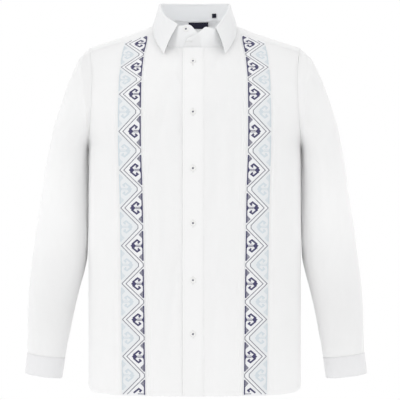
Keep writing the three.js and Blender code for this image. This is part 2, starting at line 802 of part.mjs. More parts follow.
function ringPoint(ring, turn, armhole) {
  const chord = new THREE.Vector3(ring.outX - ring.inX, 0, ring.outZ - ring.inZ);
  const start = new THREE.Vector3(ring.inX, 0, ring.inZ);
  const c = Math.cos(turn);
  const s = Math.sin(turn);
  const power = 2 / SLEEVE_POWER;
  const along = (1 - Math.sign(c) * Math.abs(c) ** power) / 2;
  const depth = -Math.sign(s) * Math.abs(s) ** power * ring.depth;
  const round = start.clone().addScaledVector(chord, along);
  round.y = depth;
  if (ring.blend >= 1) return round;
  const shaped = start.clone().addScaledVector(chord, armhole.along);
  shaped.add(armhole.rest);
  return shaped.lerp(round, ring.blend);
}

const UNDERARM = armholePoint(0);
const ARM_TOP = armholePoint(Math.PI);
const ARM_CHORD = new THREE.Vector3().subVectors(ARM_TOP, UNDERARM);

// The armhole's shape as a share of its chord and what is left over.
function armholeShape(turn) {
  const point = armholePoint(turn);
  const along = (1 - Math.cos(turn)) / 2;
  const rest = point.clone().sub(UNDERARM).addScaledVector(ARM_CHORD, -along);
  return { along, rest };
}

function sleeveFold(turn, z) {
  let height = 0;
  for (const fold of SLEEVE_FOLDS) {
    const up = (z - fold.z) / fold.reach;
    const round = Math.sin((turn - fold.turn) / 2) / fold.spread;
    height += fold.height * Math.exp(-up * up - 4 * round * round);
  }
  return height * smooth((turn < Math.PI ? turn : 2 * Math.PI - turn) / 0.9);
}

function tucked(ring, side) {
  if (side > 0) return ring;
  return {
    ...ring,
    inX: ring.inX + tuckInner(ring.inZ),
    outX: ring.outX + tuckOuter(ring.outZ),
  };
}

function ringGrid(rings, side) {
  return rings.map((ring) =>
    ARM_TURNS.map((turn) => {
      const point = ringPoint(tucked(ring, side), turn, armholeShape(turn));
      return new THREE.Vector3(side * point.x, point.y, point.z);
    }),
  );
}

// The first ring's inner edge leans no further out than the armhole's own edge does.
function seamNormals(normals, side) {
  const first = normals[0].map((normal, i) => {
    const turn = ARM_TURNS[i];
    if (turn < 0.6 || turn > 2 * Math.PI - 0.6) return normal;
    const point = armholePoint(turn);
    const edge = bodyNormals.at(new THREE.Vector3(side * point.x, point.y, point.z));
    return edge;
  });
  return [first, ...normals.slice(1)];
}

function addSleeve(name, side) {
  const seam = ARM_TURNS.map((turn) => {
    const point = armholePoint(turn);
    return new THREE.Vector3(side * (point.x + ARMHOLE_GAP), point.y, point.z);
  });
  const grid = [seam, ...ringGrid(SLEEVE_RINGS, side)];
  const field = new NormalField();
  field.addGrid(grid, { closed: true, flip: side > 0 });
  const normals = field.ofGrid(grid);
  const folded = moved(grid, normals, (point, j, i) => {
    const fade = Math.min(1, (grid.length - 1 - j) / 3);
    return fade * sleeveFold(ARM_TURNS[i], point.z);
  });
  const inner = moved(folded, seamNormals(normals, side), -CLOTH_WALL);
  addPiece(name, wallGeometry(folded, inner, true), WHITE);
}

function addCuff(name, side) {
  const grid = ringGrid(CUFF_RINGS, side);
  const field = new NormalField();
  field.addGrid(grid, { closed: true, flip: side > 0 });
  const normals = field.ofGrid(grid);
  addPiece(name, wallGeometry(grid, moved(grid, normals, -CLOTH_WALL), true), WHITE);
  return { grid, normals };
}

addSleeve("sleeve_left", 1);
addSleeve("sleeve_right", -1);
const cuffLeft = addCuff("cuff_left", 1);
const cuffRight = addCuff("cuff_right", -1);

// ---------------------------------------------------------------- collar

const collarCurves = {};
for (const field of ["foldX", "foldY", "foldZ", "edgeX", "edgeY", "edgeZ"]) {
  collarCurves[field] = curveOf(COLLAR_LINE, "turn", field);
}

function collarPoint(kind, turn, side) {
  const open = kind === "fold" && side > 0;
  const share = open ? 1 - smooth((turn - COLLAR_LINE[0].turn) / LEFT_CORNER_REACH) : 0;
  return new THREE.Vector3(
    side * (collarCurves[`${kind}X`](turn) + share * LEFT_CORNER_OUT),
    collarCurves[`${kind}Y`](turn),
    collarCurves[`${kind}Z`](turn) - share * LEFT_CORNER_DOWN,
  );
}

// Level direction away from the neck at a fold point.
function awayFromNeck(turn, side) {
  const before = collarPoint("fold", turn - 2, side);
  const after = collarPoint("fold", Math.min(180, turn + 2), side);
  if (turn > 177) return new THREE.Vector3(0, 1, 0);
  const along = new THREE.Vector3().subVectors(after, before);
  return new THREE.Vector3(side * along.y, side * -along.x, 0).setZ(0).normalize();
}

function sideTurn(x) {
  return (Math.asin(Math.min(1, x / NECK_HALF_WIDTH)) * 180) / Math.PI;
}

// Turns of one side's collar columns, from the front end to the middle of the back.
function halfTurns() {
  const front = CHEST_COLUMNS.map(({ top }) => sideTurn(top));
  const inNeck = BACK_COLUMNS.filter(({ top }) => top < NECK_HALF_WIDTH);
  const back = inNeck.map(({ top }) => 180 - sideTurn(top));
  return [...front, ...back, ...COLLAR_EXTRA_TURNS].sort((a, b) => a - b);
}

function collarTurns() {
  const half = halfTurns().slice(0, -1);
  const right = half.map((turn) => ({ turn, side: -1 }));
  const left = half.map((turn) => ({ turn, side: 1 })).reverse();
  return [...right, { turn: 180, side: 1 }, ...left];
}

const LEAF_SHARES = [0.12, 0.34, 0.58, 0.8, 1];

function leafColumn({ turn, side }) {
  const fold = collarPoint("fold", turn, side);
  const edge = collarPoint("edge", turn, side);
  const away = awayFromNeck(turn, side);
  const offset = (outward, up) =>
    fold.clone().addScaledVector(away, outward).add(new THREE.Vector3(0, 0, up));
  const column = [offset(-2.2, -3), offset(-2, -0.8), offset(0, 0.5), offset(2.1, -1.2)];
  const bulge = 3.2 * (1 - smooth((turn - 60) / 30) * smooth((150 - turn) / 30));
  for (const share of LEAF_SHARES) {
    const point = offset(2.1, -1.2).lerp(edge, share);
    point.addScaledVector(away, bulge * Math.sin(Math.PI * share));
    column.push(point);
  }
  return column;
}

function transposed(columns) {
  return columns[0].map((_, j) => columns.map((column) => column[j]));
}

function addWall(name, grid, wall, look, flip) {
  const field = new NormalField();
  field.addGrid(grid, { flip });
  const normals = field.ofGrid(grid);
  addPiece(name, wallGeometry(grid, moved(grid, normals, -wall), false), look);
  return { grid, normals };
}

addWall("collar_leaf", transposed(collarTurns().map(leafColumn)), COLLAR_WALL, WHITE, false);

const STAND_SHARES = [0, 0.33, 0.67, 1];

function standColumn(foot, top) {
  return STAND_SHARES.map((share) => foot.clone().lerp(top, share));
}

// A point of a panel's top edge at x, on the straight pieces between its own corners.
function onEdge(edge, x) {
  const rising = edge[0].x < edge[edge.length - 1].x ? edge : [...edge].reverse();
  let i = 0;
  while (i < rising.length - 2 && rising[i + 1].x < x) i += 1;
  const share = (x - rising[i].x) / (rising[i + 1].x - rising[i].x);
  return rising[i].clone().lerp(rising[i + 1], share);
}

const leftTopEdge = leftOuter[leftOuter.length - 1].slice(0, neckColumns);
const rightTopEdge = rightOuter[rightOuter.length - 1].slice(0, neckColumns);
const STAND_RISE = SEAM_GAP + 0.1;

function standEnd(row, edge) {
  const foot = onEdge(edge, row.footX);
  foot.z += STAND_RISE;
  foot.y += row.back;
  const top = new THREE.Vector3(row.topX, STAND_TOP_Y - row.forward, row.topZ);
  return standColumn(foot, top);
}

const yokeNeckEdge = yokeOuter[0].filter((point) => Math.abs(point.x) <= NECK_HALF_WIDTH + 0.5);

function standBody({ turn, side }) {
  const x = side * NECK_HALF_WIDTH * Math.sin((turn * Math.PI) / 180);
  const frontEdge = side > 0 ? leftTopEdge : rightTopEdge;
  const foot = onEdge(turn < 90.01 ? frontEdge : yokeNeckEdge, x);
  foot.z += STAND_RISE;
  const top = collarPoint("fold", turn, side);
  top.addScaledVector(awayFromNeck(turn, side), -1);
  top.z -= STAND_BELOW_CREST;
  return standColumn(foot, top);
}

const standColumns = [
  ...STAND_UNDER_END.map((row) => standEnd(row, rightTopEdge)),
  ...collarTurns().map(standBody),
  ...[...STAND_OVER_END].reverse().map((row) => standEnd(row, leftTopEdge)),
];
const standWall = addWall("collar_stand", transposed(standColumns), COLLAR_WALL, WHITE, true);

// ---------------------------------------------------------------- buttons

function buttonGeometry() {
  const rim = 0.5;
  const profile = [
    new THREE.Vector2(0, 0),
    new THREE.Vector2(BUTTON_RADIUS - rim, 0),
    new THREE.Vector2(BUTTON_RADIUS, rim),
    new THREE.Vector2(BUTTON_RADIUS, BUTTON_HEIGHT - rim),
    new THREE.Vector2(BUTTON_RADIUS - rim, BUTTON_HEIGHT),
    new THREE.Vector2(0, BUTTON_HEIGHT),
  ];
  const geometry = new THREE.LatheGeometry(profile, BUTTON_SIDES);
  return geometry.rotateX(Math.PI / 2);
}

function addButton(name, place, outward) {
  const button = addPiece(name, buttonGeometry(), BUTTON_WHITE);
  button.quaternion.setFromUnitVectors(new THREE.Vector3(0, 0, 1), outward);
  button.position.copy(place).addScaledVector(outward, SEAM_GAP);
  return button;
}

// Where the upright through x at height z meets a two-column strip, and the way it faces.
function onStrip(grid, x, z) {
  let row = 0;
  while (row < grid.length - 2 && grid[row + 1][0].z < z) row += 1;
  const [lowLeft, lowRight] = grid[row];
  const [highLeft, highRight] = grid[row + 1];
  const across = (x - lowLeft.x) / (lowRight.x - lowLeft.x);
  const low = lowLeft.clone().lerp(lowRight, across);
  const high = highLeft.clone().lerp(highRight, across);
  const place = low.clone().lerp(high, (z - low.z) / (high.z - low.z));
  const right = new THREE.Vector3().subVectors(lowRight, lowLeft);
  const outward = right.cross(new THREE.Vector3().subVectors(high, low)).normalize();
  return { place, outward };
}

for (const { name, z } of PLACKET_BUTTONS) {
  const { place, outward } = onStrip(placketOuter, BUTTON_X, z);
  addButton(name, place, outward);
}

// A place inside one cell of a wall, clear of the cell's corners, and the way it faces.
function gridSpot({ grid, normals }, { row, column, across, up }) {
  const corners = [grid[row][column], grid[row][column + 1]];
  corners.push(grid[row + 1][column], grid[row + 1][column + 1]);
  const low = corners[0].clone().lerp(corners[1], across);
  const place = low.lerp(corners[2].clone().lerp(corners[3], across), up);
  const one = new THREE.Vector3().subVectors(corners[3], corners[0]);
  const two = new THREE.Vector3().subVectors(corners[2], corners[1]);
  const outward = one.cross(two).normalize();
  if (outward.dot(normals[row][column]) < 0) outward.negate();
  const heights = corners.map((corner) => corner.clone().sub(place).dot(outward));
  place.addScaledVector(outward, Math.max(0, ...heights));
  return { place, outward };
}

const COLLAR_BUTTON_CELL = { row: 2, column: 3, across: 0.27, up: 0.52 };
const collarSpot = gridSpot(standWall, COLLAR_BUTTON_CELL);
addButton("button_collar", collarSpot.place, collarSpot.outward);

// ---------------------------------------------------------------- the hidden cuff fastenings

// A cuff button sits at the back of each cuff, over the end of the sleeve's opening.
const CUFF_BUTTON_CELL = { row: 1, column: 17, across: 0.5, up: 0.5 };

for (const [name, cuff] of [["button_cuff_left", cuffLeft], ["button_cuff_right", cuffRight]]) {
  const spot = gridSpot(cuff, CUFF_BUTTON_CELL);
  addButton(name, spot.place.addScaledVector(spot.outward, 0.2), spot.outward);
}

// ---------------------------------------------------------------- blank labels at the back neck

const LABEL_CENTRE_X = 7.5;
const LABEL_HALF_WIDTH = 20.5;
const LABEL_TOP_Z = 18.5;
const LABEL_BOTTOM_Z = 5;
const TAB_CENTRE_X = 40;
const TAB_HALF_WIDTH = 4.2;
const TAB_TOP_Z = 36;
const TAB_BOTTOM_Z = 27;

// The neck seam's depth, and above the seam the collar stand's.
function insideBackY(x, z) {
  const neck = backNeckPoint(x);
  if (z < neck.z) return neck.y;
  const turn = 180 - (Math.asin(Math.abs(x) / NECK_HALF_WIDTH) * 180) / Math.PI;
  const fold = collarPoint("fold", turn, 1);
  return mix(neck.y, fold.y, (z - neck.z) / (fold.z - neck.z));
}

function addLabel(name, centreX, halfWidth, top, bottom, clearance) {
  const columns = [-1, 0, 1].map((across) => {
    const x = centreX + across * halfWidth;
    return [top, (top + bottom) / 2, bottom].map((z) => {
      return new THREE.Vector3(x, insideBackY(x, z) - clearance, z);
    });
  });
  addWall(name, transposed(columns), LABEL_WALL, NAVY, true);
}

addLabel("neck_label", LABEL_CENTRE_X, LABEL_HALF_WIDTH, LABEL_TOP_Z, LABEL_BOTTOM_Z, 1.6);
addLabel("size_tab", TAB_CENTRE_X, TAB_HALF_WIDTH, TAB_TOP_Z, TAB_BOTTOM_Z, 3.6);

export default shirt;
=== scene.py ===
import math

import bpy
import numpy as np
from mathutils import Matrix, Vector


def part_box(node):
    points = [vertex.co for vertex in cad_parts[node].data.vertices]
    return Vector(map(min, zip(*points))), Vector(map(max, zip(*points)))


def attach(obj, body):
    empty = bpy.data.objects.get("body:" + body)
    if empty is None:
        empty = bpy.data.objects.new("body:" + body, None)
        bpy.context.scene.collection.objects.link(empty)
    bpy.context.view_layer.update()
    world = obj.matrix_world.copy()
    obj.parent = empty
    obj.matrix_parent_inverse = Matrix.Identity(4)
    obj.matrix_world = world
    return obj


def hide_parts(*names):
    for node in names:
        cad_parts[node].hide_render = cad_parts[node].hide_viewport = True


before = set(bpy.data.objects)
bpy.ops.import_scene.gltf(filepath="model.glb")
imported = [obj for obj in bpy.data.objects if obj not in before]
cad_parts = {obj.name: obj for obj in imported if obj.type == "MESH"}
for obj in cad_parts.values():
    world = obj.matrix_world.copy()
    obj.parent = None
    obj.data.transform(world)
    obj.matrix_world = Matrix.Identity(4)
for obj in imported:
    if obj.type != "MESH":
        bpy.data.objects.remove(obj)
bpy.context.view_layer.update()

# ---- camera

scene = bpy.context.scene
camera_data = bpy.data.cameras.new("camera")
camera_data.sensor_fit = "HORIZONTAL"
camera_data.sensor_width = 36.0
camera_data.lens = 140.49
camera_data.clip_end = 30.0
camera = bpy.data.objects.new("camera", camera_data)
camera.location = (0.0108, -3.2, -0.3526)
camera.rotation_euler = (math.pi / 2, 0.0, 0.0)
scene.collection.objects.link(camera)
scene.camera = camera

# ---- sizes, in millimetres

BODY_WALL = 1.1
STRIP_WALL = 0.9
COLLAR_WALL = 1.1
CUFF_WALL = 1.4
LABEL_WALL = 0.6
STRIP_BASE = 0.12              # the strips lie this close on the front
LAP_LIFT = 2.25
HALF_WIDTH = 216.6
ARM_HALF_WIDTH = 240.0
RING_POWER = 2.8
FRONT_DEPTH = 130.0
UNDERARM_Z = -250.0
HEM_Z = -739.0
HEM_SIDE_RISE = 14.0
YOKE_BACK_Z = -78.0
NECK_HALF_WIDTH = 79.0
NECK_CENTRE_Y = 10.0
NECK_FRONT_REACH = 70.0
NECK_BACK_REACH = 58.0
PLACKET_LEFT = -23.4
PLACKET_RIGHT = 17.7
UNDERLAP_EDGE = 14.0
LAP_END = 45.0
BAND_WIDTH = 48.3
PLEAT_HEIGHT = 2.2
PIN_TUCKS = [(-4.2, 0.42), (-8.2, 0.3), (-13.2, 0.3)]   # from the band's inner edge, height
BUTTON_RADIUS = 5.75
HOLE_OUT = 1.15                # each of the four holes from the middle, across and up
ARMHOLE_GAP = 0.05

SHOULDER_RIDGE = [(0, 40), (30, 36), (50, 29), (65, 21.5), (79, 13.5), (90, 7), (105, 0.5),
                  (120, -5), (155, -17.4), (190, -29.4), (222, -41.2)]
RIDGE_Y = [(0, 40), (120, 40), (170, 30), (222, 20)]
FRONT_FALL = [(0, 0), (2, 0.04), (8, 0.1), (27, 0.215), (80, 0.547), (138, 0.845), (212, 0.975), (300, 1)]
BACK_FALL = [(0, 0), (2, 0.08), (10, 0.24), (30, 0.46), (60, 0.66), (108, 0.85), (170, 0.96), (260, 1)]
BACK_DEPTH = [(-760, 117), (-560, 112), (-430, 110), (-260, 118), (-120, 120), (60, 120)]
ARMHOLE = [(-250, 216.6), (-225, 213.5), (-190, 209.5), (-150, 207.5), (-110, 208), (-80, 210.5),
           (-60, 213), (-36, 216.6)]
YOKE_FRONT_DROP = [(79, 20), (100, 17), (150, 14), (216, 12)]
BAND_INNER = [(-745, 95.4), (-560, 97.3), (-350, 100.5), (-217, 104.2), (-120, 104.4), (-60, 101.5),
              (-20, 95.8), (40, 95.8)]
CHEST_COLUMNS = [(40, 38), (58, 58), (72, 71), (79.4, 79)]          # low, top
BACK_COLUMNS = [(0, 0), (25, 22), (48, 42), (68, 60), (82, 72), (92, 79), (104, 95.8), (126, 120),
                (148.5, 144.1)]

# in x, in z, out x, out z, depth, blend with the armhole's shape; the first is the armhole
SLEEVE_RINGS = [
    (216.6, -250, 216.6, -39.3, 76, 0.0),
    (218.2, -254, 239.5, -64, 78, 0.12),
    (218.2, -259, 256, -97, 80, 0.3),
    (218.2, -266, 269.4, -131, 82, 0.55),
    (218.2, -276, 281, -168, 83.5, 0.8),
    (218.2, -290, 292.5, -207, 84, 1),
    (218.2, -309, 301, -248, 82, 1),
    (218.2, -334, 308.5, -290, 78.5, 1),
    (218.2, -364, 313.8, -333, 74, 1),
    (218.2, -397, 320.4, -376, 69.5, 1),
    (218.7, -431, 327, -417, 65, 1),
    (220, -466, 332, -455, 61, 1),
    (226.5, -500, 336.2, -489, 59, 1),
    (235.4, -533, 340, -521, 57, 1),
    (243, -565, 342.6, -551, 55, 1),
    (249.6, -597, 344.8, -583, 52, 1),
    (255.3, -628, 345.4, -615, 48, 1),
    (260.2, -653, 346.2, -641, 44, 1),
    (263, -674, 347.5, -663.5, 40, 1),
]
CUFF_RINGS = [
    (263, -674.3, 347.8, -663.8, 40, 1),
    (264.6, -687, 349.6, -677, 40.3, 1),
    (266.6, -702, 351.6, -692, 40.2, 1),
    (268.8, -716.5, 353, -706, 39.8, 1),
]
RIGHT_TUCK = [(-720, 3, -6), (-600, 1, -3.5), (-480, 0, -2), (-300, 0, -3), (-160, 0, -4.5),
              (-80, 0, -3.5), (-40, 0, 0)]
SLEEVE_POWER = 2.15

# turn, fold x y z, edge x y z
COLLAR_LINE = [
    (28.75, 33.4, -64, 0.6, 62, -64, -58),
    (48, 60, -41, 20, 75, -37, -37),
    (70, 69, -14, 38, 84, -6, -16),
    (92, 71.5, 12, 50.5, 87, 20, 4),
    (112, 70, 34, 54, 87, 42, 12),
    (135, 56, 52, 56.2, 76, 63, 11.5),
    (158, 30, 62, 57, 41, 79, 11.5),
    (180, 0, 64, 57, 0, 83, 11.5),
]
LEFT_CORNER_OUT = 8.5          # the wearer's left front corner lies further open
LEFT_CORNER_DOWN = 6.0
LEFT_CORNER_REACH = 18.0
# foot x, back, top x, top z, forward; from the tip inwards
STAND_OVER_END = [(-22.5, 0, -14.6, -28, 1.9), (-8, 0, 6.8, -17.5, 2.2), (5, 0, 16.8, -8.5, 2.2),
                  (17, 0, 24, -5, 1.8)]
STAND_UNDER_END = [(13.5, 0.7, 10.5, -27, 0), (7, 0.7, 5.8, -17.5, 0), (-3, 0.7, -1.3, -8.5, 0),
                   (-14, 0.7, -11, -0.6, 0)]
STAND_TOP_Y = -64.0
STAND_BELOW_CREST = 3.06
STAND_RISE = 0.1

PLACKET_BUTTONS = {"button_1": -78.5, "button_2": -179, "button_3": -290, "button_4": -398,
                   "button_5": -510, "button_6": -616}
BUTTON_X = -3.0

# low z, high z, x, spread, height
FOLD_WAVES = [(-760, -330, 62, 26, 1.6), (-760, -420, 186, 16, -2.2), (-640, -250, -182, 18, -1.8),
              (-760, -480, -58, 22, 1.2), (-430, -150, 45, 20, -1.2)]
# x, z, tilt from upright in degrees, half length, half width, height
CREASES = [(13, -676, 6, 38, 5, 1.6), (29, -690, -14, 34, 6, -1.8), (36, -96, 24, 46, 9, -2.2),
           (-42, -92, -22, 44, 9, 1.6), (176, -300, 9, 90, 10, 2.2), (-178, -330, -8, 80, 10, 2.2),
           (66, -250, 5, 120, 12, 1.8), (-72, -420, -4, 130, 12, 2.0), (-44, -560, 7, 90, 9, -1.8),
           (52, -520, -6, 100, 10, 2.0), (-170, -600, 4, 90, 9, 2.2), (170, -640, -5, 80, 9, 2.4),
           (-62, -190, 12, 60, 10, -1.8), (180, -150, 20, 60, 12, 2.0), (-182, -150, -20, 60, 12, -2.0)]
# z, turn, reach, spread, height
SLEEVE_FOLDS = [(-180, 2.2, 30, 0.8, 1.6), (-255, 1.3, 26, 0.7, -1.8), (-370, 2.4, 22, 0.6, 1.4),
                (-575, 1.0, 18, 0.6, -1.6), (-640, 1.9, 14, 0.7, 1.4), (-300, 4.3, 26, 0.8, 1.8),
                (-500, 4.9, 20, 0.7, -1.6),
                (-330, 0.9, 26, 0.9, -2.4), (-405, 1.7, 24, 0.8, 1.8), (-470, 1.1, 20, 0.8, -2.2),
                (-530, 2.2, 24, 0.7, 1.6), (-610, 1.2, 22, 0.8, -1.8), (-440, 4.6, 22, 0.9, -2.2),
                (-560, 5.1, 24, 0.8, 1.6)]

# ---- small tools


def smooth(t):
    u = np.clip(t, 0.0, 1.0)
    return u * u * (3 - 2 * u)


def mix(a, b, t):
    return a + (b - a) * t


def curve_of(rows, column=1):
    """Monotone cubic through a table's rows, as a function of its first column."""
    x = np.array([row[0] for row in rows], float)
    y = np.array([row[column] for row in rows], float)
    slope = np.diff(y) / np.diff(x)
    tangent = np.zeros(len(x))
    tangent[0], tangent[-1] = slope[0], slope[-1]
    product = slope[:-1] * slope[1:]
    total = np.where(product > 0, slope[:-1] + slope[1:], 1.0)
    tangent[1:-1] = np.where(product > 0, 2 * product / total, 0.0)

    def at(value):
        v = np.clip(np.asarray(value, float), x[0], x[-1])
        i = np.clip(np.searchsorted(x, v, side="right") - 1, 0, len(x) - 2)
        h = x[i + 1] - x[i]
        t = (v - x[i]) / h
        t2, t3 = t * t, t * t * t
        return (
            y[i] * (2 * t3 - 3 * t2 + 1)
            + h * tangent[i] * (t3 - 2 * t2 + t)
            + y[i + 1] * (3 * t2 - 2 * t3)
            + h * tangent[i + 1] * (t3 - t2)
        )

    return at


ridge_top = curve_of(SHOULDER_RIDGE)
ridge_y = curve_of(RIDGE_Y)
front_reach = curve_of(FRONT_FALL)
back_reach = curve_of(BACK_FALL)
back_depth = curve_of(BACK_DEPTH)
armhole_out = curve_of(ARMHOLE)
yoke_drop = curve_of(YOKE_FRONT_DROP)
band_inner = curve_of(BAND_INNER)
tuck_inner = curve_of(RIGHT_TUCK, 1)
tuck_outer = curve_of(RIGHT_TUCK, 2)


def drop_for(reach_of, share):
    low = np.zeros_like(share)
    high = np.full_like(share, 300.0)
    for _ in range(40):
        middle = (low + high) / 2
        under = reach_of(middle) < share
        low = np.where(under, middle, low)
        high = np.where(under, high, middle)
    return (low + high) / 2


# ---- the body's surface


def ring_share(out, z):
    widening = (ARM_HALF_WIDTH - HALF_WIDTH) * smooth((z - UNDERARM_Z) / 80)
    across = np.minimum(1.0, out / (HALF_WIDTH + widening))
    return (1 - across**RING_POWER) ** (1 / RING_POWER)


def fold_height(x, z):
    height = 0.0
    for low, high, out, spread, rise in FOLD_WAVES:
        along = smooth((z - low) / 60) * smooth((high - z) / 120)
        height = height + rise * along * np.exp(-(((x - out) / spread) ** 2))
    for out, up, tilt, reach, spread, rise in CREASES:
        c, s = math.cos(math.radians(tilt)), math.sin(math.radians(tilt))
        along = ((z - up) * c + (x - out) * s) / reach
        across = ((x - out) * c - (z - up) * s) / spread
        height = height + rise * np.exp(-(along**2) - across**2)
    return height


def front_y(x, z):
    out = np.abs(x)
    ridge = ridge_y(out)
    full = -FRONT_DEPTH * ring_share(out, z)
    return ridge + (full - ridge) * front_reach(ridge_top(out) - z) - fold_height(x, z) * ring_share(out, z)


def back_y(x, z):
    out = np.abs(x)
    ridge = ridge_y(out)
    full = back_depth(z) * ring_share(out, z)
    return ridge + (full - ridge) * back_reach(ridge_top(out) - z) + fold_height(-x, z) * ring_share(out, z)


def shoulder_z(x, y):
    out = np.abs(x)
    ridge = ridge_y(out)
    share = ring_share(out, 0.0)
    front_full = -FRONT_DEPTH * share
    back_full = back_depth(0.0) * share
    front_drop = drop_for(front_reach, np.clip((ridge - y) / (ridge - front_full), 0, 1))
    back_drop = drop_for(back_reach, np.clip((ridge - y) / (ridge - back_full), 0, 1))
    return ridge_top(out) - np.where(y < ridge, front_drop, back_drop)


def neck_point(turn):
    turn = np.asarray(turn, float)
    reach = np.where(np.cos(turn) > 0, NECK_FRONT_REACH, NECK_BACK_REACH)
    x = NECK_HALF_WIDTH * np.sin(turn)
    y = NECK_CENTRE_Y - reach * np.cos(turn)
    return np.stack([x, y, shoulder_z(x, y)], axis=-1)


def front_neck_point(x):
    return neck_point(np.arcsin(np.clip(np.asarray(x, float) / NECK_HALF_WIDTH, -1, 1)))


def back_neck_point(x):
    return neck_point(math.pi - np.arcsin(np.clip(np.asarray(x, float) / NECK_HALF_WIDTH, -1, 1)))


def hem_z(y):
    inward = 1 - np.minimum(1, np.abs(y) / 110)
    return HEM_Z + HEM_SIDE_RISE * inward * inward


def pleat_height(x, z):
    """The soft pleat outside each band, and the pin tucks inside it."""
    out = np.abs(x)
    inner = band_inner(z)
    offset = (out - inner - BAND_WIDTH - 6.5) / 4
    height = PLEAT_HEIGHT * smooth((-110 - z) / 90) * np.exp(-offset * offset)
    for place, rise in PIN_TUCKS:
        offset = (out - inner - place) / 0.8
        height = height + rise * np.exp(-offset * offset)
    return height


def front_surface(x, z):
    return front_y(x, z) - pleat_height(x, z)


def front_normal(x, z):
    """Outward normal of the front at x, z."""
    step = 0.5
    slope_x = (front_surface(x + step, z) - front_surface(x - step, z)) / (2 * step)
    slope_z = (front_surface(x, z + step) - front_surface(x, z - step)) / (2 * step)
    normal = np.stack([slope_x, -np.ones_like(slope_x), slope_z], axis=-1)
    return normal / np.linalg.norm(normal, axis=-1, keepdims=True)


def lap_lift(x):
    return LAP_LIFT * (1 - smooth((x - PLACKET_RIGHT) / (LAP_END - PLACKET_RIGHT)))


# ---- the armhole

ARM_TOP_Z = float(ridge_top(HALF_WIDTH))
ARM_MIDDLE_Z = (UNDERARM_Z + ARM_TOP_Z) / 2
ARM_HALF_HEIGHT = (ARM_TOP_Z - UNDERARM_Z) / 2


def arm_turn_at(z):
    return math.acos((ARM_MIDDLE_Z - z) / ARM_HALF_HEIGHT)


FRONT_SEAM_TURN = arm_turn_at(ARM_TOP_Z - float(yoke_drop(HALF_WIDTH)))
BACK_SEAM_TURN = 2 * math.pi - arm_turn_at(YOKE_BACK_Z)


def armhole_points(turns):
    turns = np.asarray(turns, float)
    z = ARM_MIDDLE_Z - ARM_HALF_HEIGHT * np.cos(turns)
    x = armhole_out(z)
    y = np.where(turns < math.pi, front_y(x, z), back_y(x, z))
    y = np.where(np.abs(turns - math.pi) < 1e-9, ridge_y(x), y)
    ends = (turns <= 1e-9) | (turns >= 2 * math.pi - 1e-9)
    x = np.where(ends, HALF_WIDTH, x)
    y = np.where(ends, 0.0, y)
    z = np.where(ends, UNDERARM_Z, z)
    return np.stack([x, y, z], axis=-1)


def edge_x(z):
    return np.where(z <= UNDERARM_Z, HALF_WIDTH, armhole_out(z))


# ---- dense grids of the panels

FINE = 6                       # rows for each row of the frame's own panels
LOW_ROWS = 12 * FINE


def height_shares(turns):
    top = ARM_MIDDLE_Z - ARM_HALF_HEIGHT * math.cos(turns[-1])
    foot = HEM_Z + HEM_SIDE_RISE
    low = np.linspace(foot, UNDERARM_Z, LOW_ROWS, endpoint=False)
    high = ARM_MIDDLE_Z - ARM_HALF_HEIGHT * np.cos(turns)
    return (np.concatenate([low, high]) - foot) / (top - foot)


def round_shares(start_out, count):
    """Shares of the way to the side edge that step evenly round the body's corner."""
    start = math.asin((start_out / HALF_WIDTH) ** (RING_POWER / 2))
    t = np.linspace(0, 1, count + 1)[1:]
    turn = start + (math.pi / 2 - start) * (1 - (1 - t) ** 1.4)
    out = HALF_WIDTH * np.sin(turn) ** (2 / RING_POWER)
    return (out - start_out) / (HALF_WIDTH - start_out)


def chest_x(column, z):
    return mix(column[0], column[1], smooth((z + 330) / 280))


def front_columns(first, last):
    """Functions of z that give each column's distance from the centre line, and its kind."""
    columns = [((lambda z, x=x: np.full_like(z, x)), "neck") for x in np.linspace(first, last, 22)]
    base = [lambda z: np.full_like(z, last)]
    for column in CHEST_COLUMNS:
        base.append(lambda z, c=column: chest_x(c, z))
    for i in range(len(base) - 1):
        for f in np.linspace(0, 1, 8)[1:]:
            columns.append(((lambda z, a=base[i], b=base[i + 1], f=f: mix(a(z), b(z), f)), "neck"))
    for place in (-14.8, -14, -13.2, -12.4, -11.2, -9.4, -8.8, -8.2, -7.6, -7, -5.6, -4.8, -4.2, -3.6, -2.8,
                  -1.4, 0):
        columns.append(((lambda z, p=place: band_inner(z) + p), "side"))
    for share in np.linspace(0, 1, 21)[1:]:
        columns.append(((lambda z, s=share: band_inner(z) + BAND_WIDTH * s), "side"))
    for place in (1.3, 2.6, 3.9, 5.2, 6.5, 7.8, 9.1, 10.4, 12, 14):
        columns.append(((lambda z, p=place: band_inner(z) + BAND_WIDTH + p), "side"))
    for share in round_shares(163.0, 28):
        columns.append(
            ((lambda z, s=share: mix(band_inner(z) + BAND_WIDTH + 14, edge_x(z), s)), "side")
        )
    return columns


def front_grid(side, first, last):
    turns = np.linspace(0, FRONT_SEAM_TURN, 9 * FINE + 1)
    shares = height_shares(turns)
    grid = []
    columns = front_columns(first, last)
    for place, (x_at, kind) in enumerate(columns):
        edge = place == len(columns) - 1
        if kind == "neck":
            top = float(front_neck_point(x_at(np.array(0.0)))[2])
        else:
            z = np.array(0.0)
            for _ in range(30):
                x = x_at(z)
                z = ridge_top(x) - yoke_drop(x)
            top = float(z)
        low_x = side * float(x_at(np.array(HEM_Z)))
        foot = float(hem_z(0.0 if edge else front_y(low_x, HEM_Z + 20)))
        z = mix(foot, top, shares)
        x = side * x_at(z)
        y = front_surface(x, z)
        column = np.stack([x, y, z], axis=-1)
        if edge:
            column[:, 1] = 0
            arm = armhole_points(turns)
            column[LOW_ROWS:] = arm * [side, 1, 1]
        grid.append(column)
    return np.stack(grid, axis=1)


